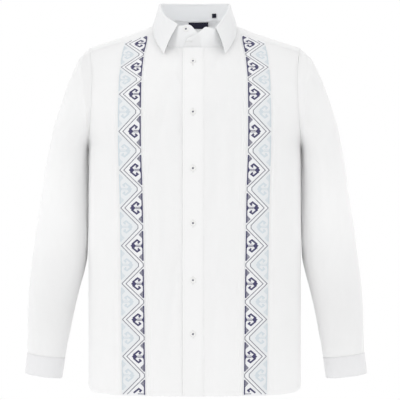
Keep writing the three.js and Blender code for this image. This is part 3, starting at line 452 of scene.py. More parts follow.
def back_columns(fine=6, round_count=28):
    half = []
    for (low, top), (low_2, top_2) in zip(BACK_COLUMNS, BACK_COLUMNS[1:]):
        for f in np.arange(fine) / fine:
            half.append((mix(low, low_2, f), mix(top, top_2, f), 0.0))
    half.append((*BACK_COLUMNS[-1], 0.0))
    for share in round_shares(BACK_COLUMNS[-1][0], round_count):
        half.append((*BACK_COLUMNS[-1], share))
    mirrored = [(*column, -1) for column in reversed(half[1:])]
    return mirrored + [(*column, 1) for column in half]


def back_grid():
    turns = np.linspace(2 * math.pi, BACK_SEAM_TURN, 8 * FINE + 1)
    shares = height_shares(turns)
    grid = []
    for low, top, share, side in back_columns():
        def x_at(z):
            inner = mix(low, top, smooth((z + 330) / 250))
            return mix(inner, edge_x(z), share)
        edge = share >= 1 - 1e-9
        low_x = side * float(x_at(np.array(HEM_Z)))
        foot = float(hem_z(0.0 if edge else back_y(low_x, HEM_Z + 20)))
        z = mix(foot, YOKE_BACK_Z, shares)
        x = side * x_at(z)
        column = np.stack([x, back_y(x, z), z], axis=-1)
        if edge:
            column[:, 1] = 0
            column[LOW_ROWS:] = armhole_points(turns) * [side, 1, 1]
        grid.append(column)
    return np.stack(grid, axis=1)


def yoke_grid():
    turns = np.concatenate([
        np.linspace(FRONT_SEAM_TURN, math.pi, 13),
        np.linspace(math.pi, BACK_SEAM_TURN, 33)[1:],
    ])
    edge = armhole_points(turns)
    shares = (edge[:, 1] - edge[0, 1]) / (edge[-1, 1] - edge[0, 1])
    grid = []
    for _, top, share, side in back_columns(fine=5, round_count=18):
        if share >= 1 - 1e-9:
            grid.append(edge * [side, 1, 1])
            continue
        x = mix(top, edge[:, 0], share)
        in_neck = x <= NECK_HALF_WIDTH + 1e-6
        seam_z = ridge_top(x) - yoke_drop(x)
        neck_y = back_neck_point(np.minimum(x, NECK_HALF_WIDTH))[..., 1]
        start = np.where(in_neck, neck_y, front_y(x, seam_z))
        end = back_y(x, np.full_like(x, YOKE_BACK_Z))
        y = mix(start, end, shares)
        z = shoulder_z(x, y)
        if not in_neck[0]:
            z[0] = seam_z[0]
        z[-1] = YOKE_BACK_Z
        grid.append(np.stack([side * x, y, z], axis=-1))
    return np.stack(grid, axis=1)


# ---- walls and meshes


def unit(v):
    return v / np.maximum(np.linalg.norm(v, axis=-1, keepdims=True), 1e-12)


def grid_normals(grid, closed=False, outward=None):
    """Normals of a grid; outward(points) gives a rough outward direction for the sign."""
    if closed:
        wrapped = np.concatenate([grid[:, -1:], grid, grid[:, :1]], axis=1)
        across = np.gradient(wrapped, axis=1)[:, 1:-1]
    else:
        across = np.gradient(grid, axis=1)
    along = np.gradient(grid, axis=0)
    normals = unit(np.cross(across, along))
    if outward is not None and (normals * outward).sum() < 0:
        normals = -normals
    return normals


def spacing_uv(grid, closed=False):
    """Cloth measures of each point in metres: across along its row, and up its column."""
    points = np.concatenate([grid, grid[:, :1]], axis=1) if closed else grid
    across = np.linalg.norm(np.diff(points, axis=1), axis=-1)
    u = np.concatenate([np.zeros((len(points), 1)), np.cumsum(across, axis=1)], axis=1)
    u = u - u[:, u.shape[1] // 2][:, None]
    along = np.linalg.norm(np.diff(points, axis=0), axis=-1)
    v = np.concatenate([np.zeros((1, points.shape[1])), np.cumsum(along, axis=0)], axis=0)
    return np.stack([u, v], axis=-1) / 1000


def new_object(name, points, faces, uvs=None, material=None, smooth_angle=50):
    mesh = bpy.data.meshes.new(name)
    mesh.from_pydata((np.asarray(points) / 1000).tolist(), [], faces)
    if uvs is not None:
        layer = mesh.uv_layers.new(name="cloth")
        layer.data.foreach_set("uv", np.asarray(uvs, dtype=np.float32).ravel())
    mesh.shade_smooth()
    if smooth_angle:
        mesh.set_sharp_from_angle(angle=math.radians(smooth_angle))
    piece = bpy.data.objects.new(name, mesh)
    scene.collection.objects.link(piece)
    if material is not None:
        mesh.materials.append(material)
    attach(piece, "root")
    return piece


def wall_mesh(outer, inner, closed=False):
    """Points, faces and cloth measures of a closed wall between two grids of one size."""
    rows, columns = outer.shape[:2]
    measure = spacing_uv(outer, closed)
    half = rows * columns
    faces, uvs = [], []
    spare = columns if closed else columns - 1

    def at(layer, j, i):
        return layer * half + j * columns + i % columns

    def add(corners):
        faces.append([at(*corner) for corner in corners])
        uvs.extend(measure[j, min(i, measure.shape[1] - 1)] for _, j, i in corners)

    for j in range(rows - 1):
        for i in range(spare):
            add([(0, j, i), (0, j, i + 1), (0, j + 1, i + 1), (0, j + 1, i)])
            add([(1, j, i), (1, j + 1, i), (1, j + 1, i + 1), (1, j, i + 1)])
    for i in range(spare):
        add([(0, 0, i), (1, 0, i), (1, 0, i + 1), (0, 0, i + 1)])
        last = rows - 1
        add([(0, last, i), (0, last, i + 1), (1, last, i + 1), (1, last, i)])
    if not closed:
        for j in range(rows - 1):
            add([(0, j, 0), (0, j + 1, 0), (1, j + 1, 0), (1, j, 0)])
            last = columns - 1
            add([(0, j, last), (1, j, last), (1, j + 1, last), (0, j + 1, last)])
    points = np.concatenate([outer.reshape(-1, 3), inner.reshape(-1, 3)])
    tri = np.array([[f[0], f[1], f[2]] for f in faces] + [[f[0], f[2], f[3]] for f in faces])
    a, b, c = points[tri[:, 0]], points[tri[:, 1]], points[tri[:, 2]]
    if (a * np.cross(b, c)).sum() < 0:
        faces = [face[::-1] for face in faces]
        uvs = [uv for k in range(0, len(uvs), 4) for uv in reversed(uvs[k:k + 4])]
    return points, faces, uvs


def wall(name, outer, inner, material, closed=False, smooth_angle=50):
    points, faces, uvs = wall_mesh(outer, inner, closed)
    return new_object(name, points, faces, uvs, material, smooth_angle)


# ---- materials


class Nodes:
    """Short calls for one material's nodes."""

    def __init__(self, name):
        self.material = bpy.data.materials.new(name)
        self.material.use_nodes = True
        self.tree = self.material.node_tree
        self.shader = self.tree.nodes["Principled BSDF"]

    def new(self, kind, **values):
        node = self.tree.nodes.new(kind)
        for key, value in values.items():
            if hasattr(node, key):
                setattr(node, key, value)
            else:
                node.inputs[key].default_value = value
        return node

    def link(self, out, into):
        self.tree.links.new(out, into)

    def surface(self, values):
        """Constants on the shader's own sockets."""
        for key, value in values.items():
            self.shader.inputs[key].default_value = value

    def roughness(self, value, low, high):
        """Roughness that follows a texture between two values."""
        rough = self.new("ShaderNodeMapRange")
        rough.inputs["To Min"].default_value = low
        rough.inputs["To Max"].default_value = high
        self.link(value, rough.inputs["Value"])
        self.link(rough.outputs[0], self.shader.inputs["Roughness"])

    def math(self, operation, a, b=None):
        node = self.new("ShaderNodeMath", operation=operation)
        for socket, value in zip(node.inputs, (a, b)):
            if value is None:
                continue
            if isinstance(value, (int, float)):
                socket.default_value = value
            else:
                self.link(value, socket)
        return node.outputs[0]

    def scaled_uv(self, scale):
        place = self.new("ShaderNodeUVMap", uv_map="cloth")
        mapping = self.new("ShaderNodeMapping")
        mapping.inputs["Scale"].default_value = scale
        self.link(place.outputs[0], mapping.inputs["Vector"])
        return mapping.outputs[0]

    def wave(self, direction, period):
        uv = self.scaled_uv((1, 1, 1))
        node = self.new("ShaderNodeTexWave", wave_type="BANDS", bands_direction=direction)
        node.inputs["Scale"].default_value = 2 * math.pi / (20 * period)
        self.link(uv, node.inputs["Vector"])
        return node.outputs["Fac"]

    def noise(self, scale, detail=2.0, vector=None):
        node = self.new("ShaderNodeTexNoise")
        node.inputs["Scale"].default_value = 1.0
        node.inputs["Detail"].default_value = detail
        self.link(vector or self.scaled_uv(scale), node.inputs["Vector"])
        return node.outputs["Fac"]

    def ramp(self, value, low, high, a, b):
        node = self.new("ShaderNodeValToRGB")
        node.color_ramp.elements[0].position = a
        node.color_ramp.elements[1].position = b
        node.color_ramp.elements[0].color = (*low, 1)
        node.color_ramp.elements[1].color = (*high, 1)
        self.link(value, node.inputs["Fac"])
        return node.outputs["Color"]

    def bump(self, height, strength, distance):
        node = self.new("ShaderNodeBump")
        node.inputs["Strength"].default_value = strength
        node.inputs["Distance"].default_value = distance
        self.link(height, node.inputs["Height"])
        self.link(node.outputs[0], self.shader.inputs["Normal"])


def woven(name, light, dark, thread=0.0005, slub=0.35, sheen=0.08, roughness=0.86, depth=0.0001,
          through=0.5):
    """Plain-woven cloth: crossing threads, uneven slubs, and a slight mottle of its colour."""
    n = Nodes(name)
    warp = n.wave("X", 2 * thread)
    weft = n.wave("Y", 2 * thread)
    both = n.math("MULTIPLY", warp, weft)
    neither = n.math("MULTIPLY", n.math("SUBTRACT", 1.0, warp), n.math("SUBTRACT", 1.0, weft))
    weave = n.math("ADD", both, neither)
    slub_weft = n.noise((45, 1900, 1), 2.0)
    slub_warp = n.noise((1900, 30, 1), 2.0)
    slubs = n.math("MULTIPLY", n.math("ADD", slub_weft, slub_warp), slub)
    mottle = n.noise((26, 26, 26), 4.0)
    shade = n.math("ADD", n.math("MULTIPLY", slubs, 0.8), n.math("MULTIPLY", mottle, 0.25))
    n.link(n.ramp(shade, dark, light, 0.25, 0.55), n.shader.inputs["Base Color"])
    n.roughness(mottle, roughness - 0.05, roughness + 0.06)
    n.surface({"Subsurface Weight": through, "Subsurface Radius": (1.0, 1.0, 1.0), "Subsurface Scale": 0.004,
               "Sheen Weight": sheen, "Sheen Roughness": 0.5, "Specular IOR Level": 0.2})
    n.bump(n.math("ADD", weave, slubs), 0.35, depth)
    return n.material


def thread(name, light, dark, twist=0.0004, roughness=0.55):
    """Embroidery or sewing thread: fine twisted ridges across its length."""
    n = Nodes(name)
    ridges = n.wave("X", twist)
    uneven = n.noise((900, 260, 1), 3.0)
    shade = n.math("ADD", n.math("MULTIPLY", ridges, 0.55), n.math("MULTIPLY", uneven, 0.55))
    n.link(n.ramp(shade, dark, light, 0.2, 0.9), n.shader.inputs["Base Color"])
    n.surface({"Roughness": roughness, "Specular IOR Level": 0.3, "Sheen Weight": 0.1})
    n.bump(n.math("ADD", ridges, uneven), 0.5, 0.00012)
    return n.material


def shell_button():
    """Glossy white button: faint pearly clouds and fine turning marks."""
    n = Nodes("button_white")
    cloud = n.noise((380, 380, 380), 3.0)
    n.link(n.ramp(cloud, (0.83, 0.83, 0.81), (0.93, 0.93, 0.92), 0.3, 0.7), n.shader.inputs["Base Color"])
    n.roughness(cloud, 0.22, 0.36)
    n.surface({"Coat Weight": 0.25, "Coat Roughness": 0.15})
    n.bump(n.noise((2600, 2600, 1), 2.0), 0.12, 0.00004)
    return n.material


WHITE_CLOTH = woven("cloth_white", (0.90, 0.90, 0.90), (0.875, 0.875, 0.875))
WHITE_STRIP = woven("cloth_placket", (0.91, 0.91, 0.91), (0.885, 0.885, 0.885), slub=0.25, through=0.0)
# The cuffs' cloth is painted greyer than the body's cloth: painted shade that darkens the cuffs.
CUFF_CLOTH_PAINTED_SHADE = woven("cloth_cuff_painted_shade", (0.83, 0.83, 0.84), (0.80, 0.80, 0.81), slub=0.25)
# The collar's cloth is painted a little darker than the body's cloth: painted shade on the collar.
COLLAR_CLOTH_PAINTED_SHADE = woven("cloth_collar_painted_shade", (0.88, 0.885, 0.89), (0.855, 0.86, 0.865), slub=0.25, through=0.3)
BAND_CLOTH = woven("cloth_band", (0.92, 0.925, 0.94), (0.895, 0.90, 0.915), slub=0.2, through=0.15)
WHITE_THREAD = thread("thread_white", (0.93, 0.93, 0.92), (0.74, 0.74, 0.74))
NAVY_THREAD = thread("thread_navy", (0.085, 0.08, 0.185), (0.034, 0.032, 0.088))
GREY_THREAD = thread("thread_grey", (0.25, 0.255, 0.30), (0.145, 0.15, 0.185))
PALE_THREAD = thread("thread_pale", (0.71, 0.765, 0.80), (0.60, 0.66, 0.705))
PALE_FILL = thread("thread_pale_fill", (0.835, 0.855, 0.87), (0.77, 0.79, 0.81), twist=0.0007)
BUTTON_WHITE = shell_button()
NAVY_LABEL = woven("label_navy", (0.009, 0.009, 0.028), (0.002, 0.002, 0.008), thread=0.00035, roughness=0.6,
                   through=0.0)
FLOOR_GREY = Nodes("floor_pale")
FLOOR_GREY.link(
    FLOOR_GREY.ramp(FLOOR_GREY.noise((1, 1, 1), 2.0), (0.955, 0.955, 0.955), (0.975, 0.975, 0.975), 0.3, 0.7),
    FLOOR_GREY.shader.inputs["Base Color"],
)
FLOOR_GREY.surface({"Roughness": 0.9})

# ---- body panels


def panel(name, grid, outward, material, lift=0.0, side_columns=()):
    normals = grid_normals(grid, outward=np.asarray(outward, float))
    for column in side_columns:
        rows = slice(0, LOW_ROWS + 1)
        normals[rows, column] = [np.sign(grid[0, column, 0]), 0, 0]
    outer = grid + normals * (lift[..., None] if isinstance(lift, np.ndarray) else lift)
    wall(name, outer, outer - normals * BODY_WALL, material)
    return outer, normals


left_front = front_grid(1, PLACKET_LEFT, PLACKET_RIGHT)
right_front = front_grid(-1, -UNDERLAP_EDGE, -PLACKET_LEFT)
left_lift = lap_lift(left_front[..., 0])
left_panel = panel("shirt_front_left", left_front, (0, -1, 0), WHITE_CLOTH, left_lift, [-1])
right_panel = panel("shirt_front_right", right_front, (0, -1, 0), WHITE_CLOTH, 0.0, [-1])
back_panel = panel("shirt_back", back_grid(), (0, 1, 0), WHITE_CLOTH, 0.0, [0, -1])
yoke_panel = panel("shirt_yoke", yoke_grid(), (0, 0.3, 1), WHITE_CLOTH)

# ---- placket and bands


def place_on_front(x, z, lift):
    """Points that stand a lift off the front, at x across and z up."""
    x, z = np.broadcast_arrays(np.asarray(x, float), np.asarray(z, float))
    point = np.stack([x, front_surface(x, z), z], axis=-1)
    return point + front_normal(x, z) * np.asarray(lift)[..., None]


def strip_grid(x_of, tops, foot_y, columns, rows):
    shares = np.linspace(0, 1, rows)
    x_low = x_of(np.full(columns, HEM_Z), np.linspace(0, 1, columns))
    feet = hem_z(foot_y(x_low))
    z = feet[None, :] + (tops[None, :] - feet[None, :]) * shares[:, None]
    x = x_of(z, np.linspace(0, 1, columns)[None, :])
    return x, z


def strip(name, side, x_of, tops, columns, rows, lift_of, material):
    x, z = strip_grid(x_of, tops, lambda v: front_y(side * v, np.full_like(v, HEM_Z + 20)), columns, rows)
    x = side * x
    base = lift_of(x)
    # The long edges are pressed down on the front, as a sewn strip's are.
    across = np.linspace(0, 1, columns)[None, :]
    pressed = np.minimum(1, np.minimum(across, 1 - across) * 14) ** 0.6
    outer = place_on_front(x, z, base + STRIP_BASE + 0.35 + (STRIP_WALL - 0.15) * pressed)
    inner = place_on_front(x, z, base + STRIP_BASE)
    wall(name, outer, inner, material)
    return outer


placket_columns = 22
placket_x = np.linspace(PLACKET_LEFT, PLACKET_RIGHT, placket_columns)
placket_tops = front_neck_point(placket_x)[:, 2] - 0.6
strip("shirt_placket", 1, lambda z, s: mix(PLACKET_LEFT, PLACKET_RIGHT, s) + 0 * z, placket_tops,
      placket_columns, 130, lap_lift, WHITE_STRIP)


def band_tops(columns):
    tops = []
    for share in np.linspace(0, 1, columns):
        z = 0.0
        for _ in range(30):
            x = float(band_inner(z)) + BAND_WIDTH * share
            z = float(ridge_top(x) - yoke_drop(x))
        tops.append(z - 0.3)
    return np.array(tops)


for side, name in ((1, "shirt_band_left"), (-1, "shirt_band_right")):
    strip(name, side, lambda z, s: band_inner(z) + BAND_WIDTH * s, band_tops(26), 26, 150,
          lambda x: 0.0 * x, BAND_CLOTH)

# ---- sleeves and cuffs

UNDERARM = armhole_points([0.0])[0]
ARM_TOP = armhole_points([math.pi])[0]


def rings_at(rings, count):
    """Ring values at even steps down the sleeve, on smooth curves through the table."""
    rows = [(i, *ring) for i, ring in enumerate(rings)]
    places = np.linspace(0, len(rings) - 1, count)
    return np.stack([curve_of(rows, k + 1)(places) for k in range(6)], axis=-1)


def sleeve_fold(turn, z):
    height = 0.0
    for place, at, reach, spread, rise in SLEEVE_FOLDS:
        up = (z - place) / reach
        round_it = np.sin((turn - at) / 2) / spread
        height = height + rise * np.exp(-up * up - 4 * round_it * round_it)
    return height * smooth(np.minimum(turn, 2 * math.pi - turn) / 0.9)


def ring_grid(rings, side, turns):
    rings = rings.copy()
    if side < 0:
        rings[:, 0] += tuck_inner(rings[:, 1])
        rings[:, 2] += tuck_outer(rings[:, 3])
    arm = armhole_points(turns)
    along = (1 - np.cos(turns)) / 2
    rest = arm - UNDERARM - (ARM_TOP - UNDERARM) * along[:, None]
    c, s = np.cos(turns), np.sin(turns)
    power = 2 / SLEEVE_POWER
    round_along = (1 - np.sign(c) * np.abs(c) ** power) / 2
    depth = -np.sign(s) * np.abs(s) ** power
    grid = []
    for in_x, in_z, out_x, out_z, deep, blend in rings:
        start = np.array([in_x, 0, in_z])
        chord = np.array([out_x - in_x, 0, out_z - in_z])
        rounded = start + chord * round_along[:, None]
        rounded[:, 1] = depth * deep
        # The sleeve's head leaves the armhole's backward lean behind as it comes down.
        lean = ARM_TOP[1] * smooth(1 - blend / 0.14)
        shaped = start + (chord + [0, lean, 0]) * along[:, None] + rest
        grid.append(mix(shaped, rounded, blend) * [side, 1, 1])
    return np.stack(grid)


SLEEVE_TURNS = np.linspace(0, 2 * math.pi, 113)[:-1]


def sleeve(name, side):
    grid = ring_grid(rings_at(SLEEVE_RINGS, 120), side, SLEEVE_TURNS)
    grid[..., 0] += side * ARMHOLE_GAP * np.linspace(1, 0, len(grid))[:, None] ** 4
    centre = grid.mean(axis=1, keepdims=True)
    normals = grid_normals(grid, closed=True, outward=grid - centre)
    rows = np.linspace(0, 1, len(grid))[:, None]
    fade = np.minimum(1, (1 - rows) * 6)
    height = fade * sleeve_fold(SLEEVE_TURNS[None, :], grid[..., 2])
    outer = grid + normals * height[..., None]
    inner_normals = normals.copy()
    inner_normals[0] = unit(normals[0] * [0.2, 1, 1])
    wall(name, outer, outer - inner_normals * BODY_WALL, WHITE_CLOTH, closed=True)


def cuff(name, side):
    grid = ring_grid(rings_at(CUFF_RINGS, 14), side, SLEEVE_TURNS)
    normals = grid_normals(grid, closed=True, outward=grid - grid.mean(axis=1, keepdims=True))
    wall(name, grid, grid - normals * CUFF_WALL, CUFF_CLOTH_PAINTED_SHADE, closed=True)
    return grid, normals


sleeve("shirt_sleeve_left", 1)
sleeve("shirt_sleeve_right", -1)
cuff_left = cuff("shirt_cuff_left", 1)
cuff_right = cuff("shirt_cuff_right", -1)

# ---- collar

collar_curves = [curve_of(COLLAR_LINE, k) for k in range(1, 7)]


def collar_points(kind, turn, side):
    first = 0 if kind == "fold" else 3
    turn = np.asarray(turn, float)
    side = np.where(turn > 180, -1.0, 1.0) * side
    inside = np.where(turn > 180, 360 - turn, turn)
    x, y, z = (collar_curves[first + k](inside) for k in range(3))
    if kind == "fold":
        share = np.where(side > 0, 1 - smooth((inside - COLLAR_LINE[0][0]) / LEFT_CORNER_REACH), 0.0)
        x = x + share * LEFT_CORNER_OUT
        z = z - share * LEFT_CORNER_DOWN
    return np.stack([side * x, y, z], axis=-1)


def away_from_neck(turn, side):
    along = collar_points("fold", turn + 2, side) - collar_points("fold", turn - 2, side)
    away = np.stack([side * along[..., 1], -side * along[..., 0], 0 * along[..., 0]], axis=-1)
    return unit(away)


COLLAR_HALF_COLUMNS = 84
half_turns = np.linspace(COLLAR_LINE[0][0], 180, COLLAR_HALF_COLUMNS)
collar_turns = np.concatenate([half_turns, half_turns[-2::-1]])
collar_sides = np.concatenate([-np.ones(COLLAR_HALF_COLUMNS), np.ones(COLLAR_HALF_COLUMNS - 1)])

FOLD_PROFILE = np.array([(-2.2, -3), (-2.15, -1.9), (-1.95, -0.8), (-1.3, 0.1), (-0.5, 0.48), (0.3, 0.5),
                         (1.2, 0.1), (1.8, -0.5)])


def leaf_grid():
    fold = collar_points("fold", collar_turns, collar_sides)
    edge = collar_points("edge", collar_turns, collar_sides)
    away = np.stack([away_from_neck(np.array(t), s) for t, s in zip(collar_turns, collar_sides)])
    up = np.array([0, 0, 1.0])
    rows = [fold + away * out + up * rise for out, rise in FOLD_PROFILE]
    start = fold + away * 2.1 + up * -1.2
    bulge = 3.2 * (1 - smooth((collar_turns - 60) / 30) * smooth((150 - collar_turns) / 30))
    for share in np.linspace(0, 1, 26):
        rows.append(mix(start, edge, share) + away * (bulge * math.sin(math.pi * share))[:, None])
    return np.stack(rows)


def collar_wall(name, grid, outward, material):
    normals = grid_normals(grid, outward=outward)
    wall(name, grid, grid - normals * COLLAR_WALL, material)
    return grid, normals


leaf = leaf_grid()
leaf_outward = np.zeros_like(leaf)
leaf_outward[-12:] = leaf[-12:] * [1, 1, 0] - [0, 10, 0]
leaf, leaf_normals = collar_wall("shirt_collar_leaf", leaf, leaf_outward, COLLAR_CLOTH_PAINTED_SHADE)


def stand_end(row, left):
    foot_x, back, top_x, top_z, forward = row
    foot = front_neck_point(foot_x)
    if left:
        foot = foot + front_normal(foot[0], foot[2]) * float(lap_lift(foot_x))
    foot = foot + [0, back, STAND_RISE]
    return foot, np.array([top_x, STAND_TOP_Y - forward, top_z])


def stand_body(turn, side):
    angle = math.radians(turn)
    foot = neck_point(angle) * [side, 1, 1]
    if side > 0 and turn < 90:
        foot = foot + front_normal(foot[0], foot[2]) * float(lap_lift(foot[0]))
    foot = foot + [0, 0, STAND_RISE]
    top = collar_points("fold", np.array(turn), side) - away_from_neck(np.array(turn), side)
    return foot, top - [0, 0, STAND_BELOW_CREST]


def through(points, count):
    """Catmull-Rom curve through the given points."""
    points = np.asarray(points, float)
    padded = np.concatenate([2 * points[:1] - points[1:2], points, 2 * points[-1:] - points[-2:-1]])
    out = []
    for i in range(len(points) - 1):
        p0, p1, p2, p3 = padded[i:i + 4]
        for t in np.linspace(0, 1, count, endpoint=False):
            out.append(0.5 * (2 * p1 + (p2 - p0) * t + (2 * p0 - 5 * p1 + 4 * p2 - p3) * t**2
                              + (3 * p1 - p0 - 3 * p2 + p3) * t**3))
    out.append(points[-1])
    return np.array(out)


def stand_grid():
    body = [stand_body(t, s) for t, s in zip(collar_turns, collar_sides)]
    under = [stand_end(row, False) for row in STAND_UNDER_END] + [body[0], body[4]]
    over = [body[-5], body[-1]] + [stand_end(row, True) for row in reversed(STAND_OVER_END)]
    both = []
    for k in (0, 1):
        first = through([p[k] for p in under], 6)[:-7]
        last = through([p[k] for p in over], 6)[7:]
        both.append(np.concatenate([first, [p[k] for p in body], last]))
    foot, top = both
    shares = np.linspace(0, 1, 12)[:, None, None]
    return foot[None] * (1 - shares) + top[None] * shares


stand = stand_grid()
stand_outward = stand * [1, 1, 0] - [0, 10, 0]
stand, stand_normals = collar_wall("shirt_collar_stand", stand, stand_outward, COLLAR_CLOTH_PAINTED_SHADE)

# ---- buttons


def frame_of(outward):
    """Two directions in the plane that faces outward: across and up."""
    outward = unit(np.asarray(outward, float))
    across = unit(np.cross(np.array([0, 0, 1.0]), outward))
    return -across, np.cross(outward, -across), outward


def button_profile(radius):
    """Height of the button's face at each distance from its middle."""
    r = radius / BUTTON_RADIUS
    rim = 1.75 + 0.45 * np.exp(-(((r - 0.84) / 0.13) ** 2))
    dish = 0.5 * smooth((0.7 - r) / 0.25)
    return (rim - dish) * np.sqrt(np.clip(1 - np.clip((r - 0.9) / 0.1, 0, 1) ** 2, 0, 1))


def build_button(name, centre, outward, material):
    turns = np.linspace(0, 2 * math.pi, 49)[:-1]
    radii = np.concatenate([np.linspace(0.35, 3.2, 13), np.linspace(3.5, BUTTON_RADIUS, 12)])
    holes = [(HOLE_OUT, HOLE_OUT), (-HOLE_OUT, HOLE_OUT), (-HOLE_OUT, -HOLE_OUT), (HOLE_OUT, -HOLE_OUT)]
    flat_points, heights = [], []
    for radius in radii:
        for turn in turns:
            x, y = radius * math.cos(turn), radius * math.sin(turn)
            height = float(button_profile(np.array(radius)))
            for hole_x, hole_y in holes:
                near = math.hypot(x - hole_x, y - hole_y)
                height -= 1.0 * float(smooth((0.95 - near) / 0.45))
            flat_points.append((x, y))
            heights.append(max(height, 0.25))
    across, up, out = frame_of(outward)
    points = [centre + across * x + up * y + out * h for (x, y), h in zip(flat_points, heights)]
    points.append(centre + out * (heights[0]))
    ring = len(turns)
    faces = []
    for j in range(len(radii) - 1):
        for i in range(ring):
            k = (i + 1) % ring
            faces.append([j * ring + i, (j + 1) * ring + i, (j + 1) * ring + k, j * ring + k])
    top_centre = len(points) - 1
    for i in range(ring):
        faces.append([top_centre, i, (i + 1) % ring])
    start = len(points)
    for turn in turns:
        x, y = BUTTON_RADIUS * 0.95 * math.cos(turn), BUTTON_RADIUS * 0.95 * math.sin(turn)
        points.append(centre + across * x + up * y)
    outer_ring = (len(radii) - 1) * ring
    for i in range(ring):
        k = (i + 1) % ring
        faces.append([outer_ring + i, start + i, start + k, outer_ring + k])
    faces.append([start + i for i in reversed(range(ring))])
    points = np.array(points)
    place = (points - centre) / 1000
    uv = np.stack([place @ across, place @ up], axis=-1)
    uvs = [uv[v] for face in faces for v in face]
    new_object(name, points, faces, uvs, material, 60)
    sewing(name.replace("shirt_", "shirt_thread_"), centre, across, up, out)


def rod(points, radius, sides=6):
    """Points, faces and measures of a round thread along a line, with rounded ends."""
    points = np.asarray(points, float)
    tangents = unit(np.gradient(points, axis=0))
    reference = np.array([0, 0, 1.0]) if abs(tangents[0][2]) < 0.9 else np.array([1.0, 0, 0])
    rings = []
    count = len(points)
    for k, (point, tangent) in enumerate(zip(points, tangents)):
        one = unit(np.cross(tangent, reference))
        two = np.cross(tangent, one)
        size = radius * (0.45 if k in (0, count - 1) else 1.0)
        for turn in np.arange(sides) * 2 * math.pi / sides:
            rings.append(point + size * (one * math.cos(turn) + two * math.sin(turn)))
    faces = []
    for k in range(count - 1):
        for i in range(sides):
            n = (i + 1) % sides
            faces.append([k * sides + i, (k + 1) * sides + i, (k + 1) * sides + n, k * sides + n])
    faces.append(list(range(sides)))
    faces.append([(count - 1) * sides + i for i in reversed(range(sides))])
    place = np.array(rings) / 1000
    uvs = [(place[v][0] + place[v][1], place[v][2]) for face in faces for v in face]
    return np.array(rings), faces, uvs


def thread_piece(name, parts, material):
    """One piece from many threads, each given by its points, faces and measures."""
    points, faces, uvs, start = [], [], [], 0
    for part_points, part_faces, part_uvs in parts:
        points.append(part_points)
        faces.extend([[v + start for v in face] for face in part_faces])
        uvs.extend(part_uvs)
        start += len(part_points)
    new_object(name, np.concatenate(points), faces, uvs, material, 60)


def sewing(name, centre, across, up, out):
    """Four strands of navy thread that cross between the button's holes."""
    parts = []
    for a, b in (((HOLE_OUT, HOLE_OUT), (-HOLE_OUT, -HOLE_OUT)),
                 ((-HOLE_OUT, HOLE_OUT), (HOLE_OUT, -HOLE_OUT))):
        for shift in (-0.22, 0.22):
            line = []
            for t in np.linspace(0, 1, 9):
                x = mix(a[0], b[0], t) + shift
                y = mix(a[1], b[1], t) - shift * np.sign(a[0] * a[1])
                height = 0.55 + 1.35 * math.sin(math.pi * t) ** 0.45
                line.append(centre + across * x + up * y + out * height)
            parts.append(rod(line, 0.34))
    thread_piece(name, parts, NAVY_THREAD)


BAND_FACE = STRIP_BASE + 0.35 + STRIP_WALL - 0.15
for name, z in PLACKET_BUTTONS.items():
    x = np.array(BUTTON_X)
    z = np.array(float(z))
    place = place_on_front(x, z, lap_lift(x) + BAND_FACE + 0.1)
    build_button("shirt_" + name, place, front_normal(x, z), BUTTON_WHITE)


def box_middle(node):
    low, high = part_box(node)
    return (np.array(low) + np.array(high)) * 500


def button_on(node, grid, normals):
    """A button at its node's place, seated on the nearest point of the wall under it."""
    middle = box_middle(node)
    gap = np.linalg.norm(grid - middle, axis=-1)
    j, i = np.unravel_index(np.argmin(gap), gap.shape)
    normal = normals[j, i]
    flat = middle - normal * float((middle - grid[j, i]) @ normal)
    build_button("shirt_" + node, flat + normal * 0.1, normal, BUTTON_WHITE)


button_on("button_collar", stand, stand_normals)
button_on("button_cuff_left", *cuff_left)
button_on("button_cuff_right", *cuff_right)

# ---- labels


def inside_back_y(x, z):
    neck = back_neck_point(x)
    turn = 180 - np.degrees(np.arcsin(np.abs(x) / NECK_HALF_WIDTH))
    fold = collar_points("fold", turn, 1)
    above = mix(neck[..., 1], fold[..., 1], (z - neck[..., 2]) / (fold[..., 2] - neck[..., 2]))
    return np.where(z < neck[..., 2], neck[..., 1], above)


def label(name, centre_x, half_width, top, bottom, clearance, columns, rows):
    x, z = np.meshgrid(np.linspace(centre_x - half_width, centre_x + half_width, columns),
                       np.linspace(bottom, top, rows))
    u = (x - centre_x) / half_width
    v = (z - bottom) / (top - bottom)
    puff = 0.5 * (1 - u * u) * np.sin(math.pi * v)
    grid = np.stack([x, inside_back_y(x, z) - clearance - puff, z], axis=-1)
    normals = grid_normals(grid, outward=np.array([0, -1.0, 0]))
    wall(name, grid, grid - normals * LABEL_WALL, NAVY_LABEL)


label("shirt_neck_label", 7.5, 20.5, 18.5, 5, 2.0, 34, 14)
label("shirt_size_tab", 40, 4.2, 36, 27, 4.0, 12, 12)

# ---- thread: satin strokes and stitches


def outward_faces(points, faces, uvs):
    """Faces and their measures, turned over if the closed piece is inside out."""
    total = 0.0
    for face in faces:
        a, b, c = (points[v] for v in face[:3])
        total += float(a @ np.cross(b, c))
    if total >= 0:
        return faces, uvs
    turned, start = [], 0
    for face in faces:
        turned.extend(reversed(uvs[start:start + len(face)]))
        start += len(face)
    return [face[::-1] for face in faces], turned


def tube(rings, along, around):
    """A closed tube through rings of points; its measures run along it and round it, in metres."""
    count, sides = rings.shape[:2]
    faces, uvs = [], []
    for k in range(count - 1):
        for i in range(sides):
            n = (i + 1) % sides
            faces.append([k * sides + i, (k + 1) * sides + i, (k + 1) * sides + n, k * sides + n])
            uvs.extend([(along[k], around[i]), (along[k + 1], around[i]),
                        (along[k + 1], around[i + 1]), (along[k], around[i + 1])])
    for k, order in ((0, range(sides)), (count - 1, reversed(range(sides)))):
        order = list(order)
        faces.append([k * sides + i for i in order])
        uvs.extend((along[k], around[i]) for i in order)
    points = rings.reshape(-1, 3)
    middle = points.mean(axis=0)
    faces, uvs = outward_faces(points - middle, faces, uvs)
    return points, faces, uvs


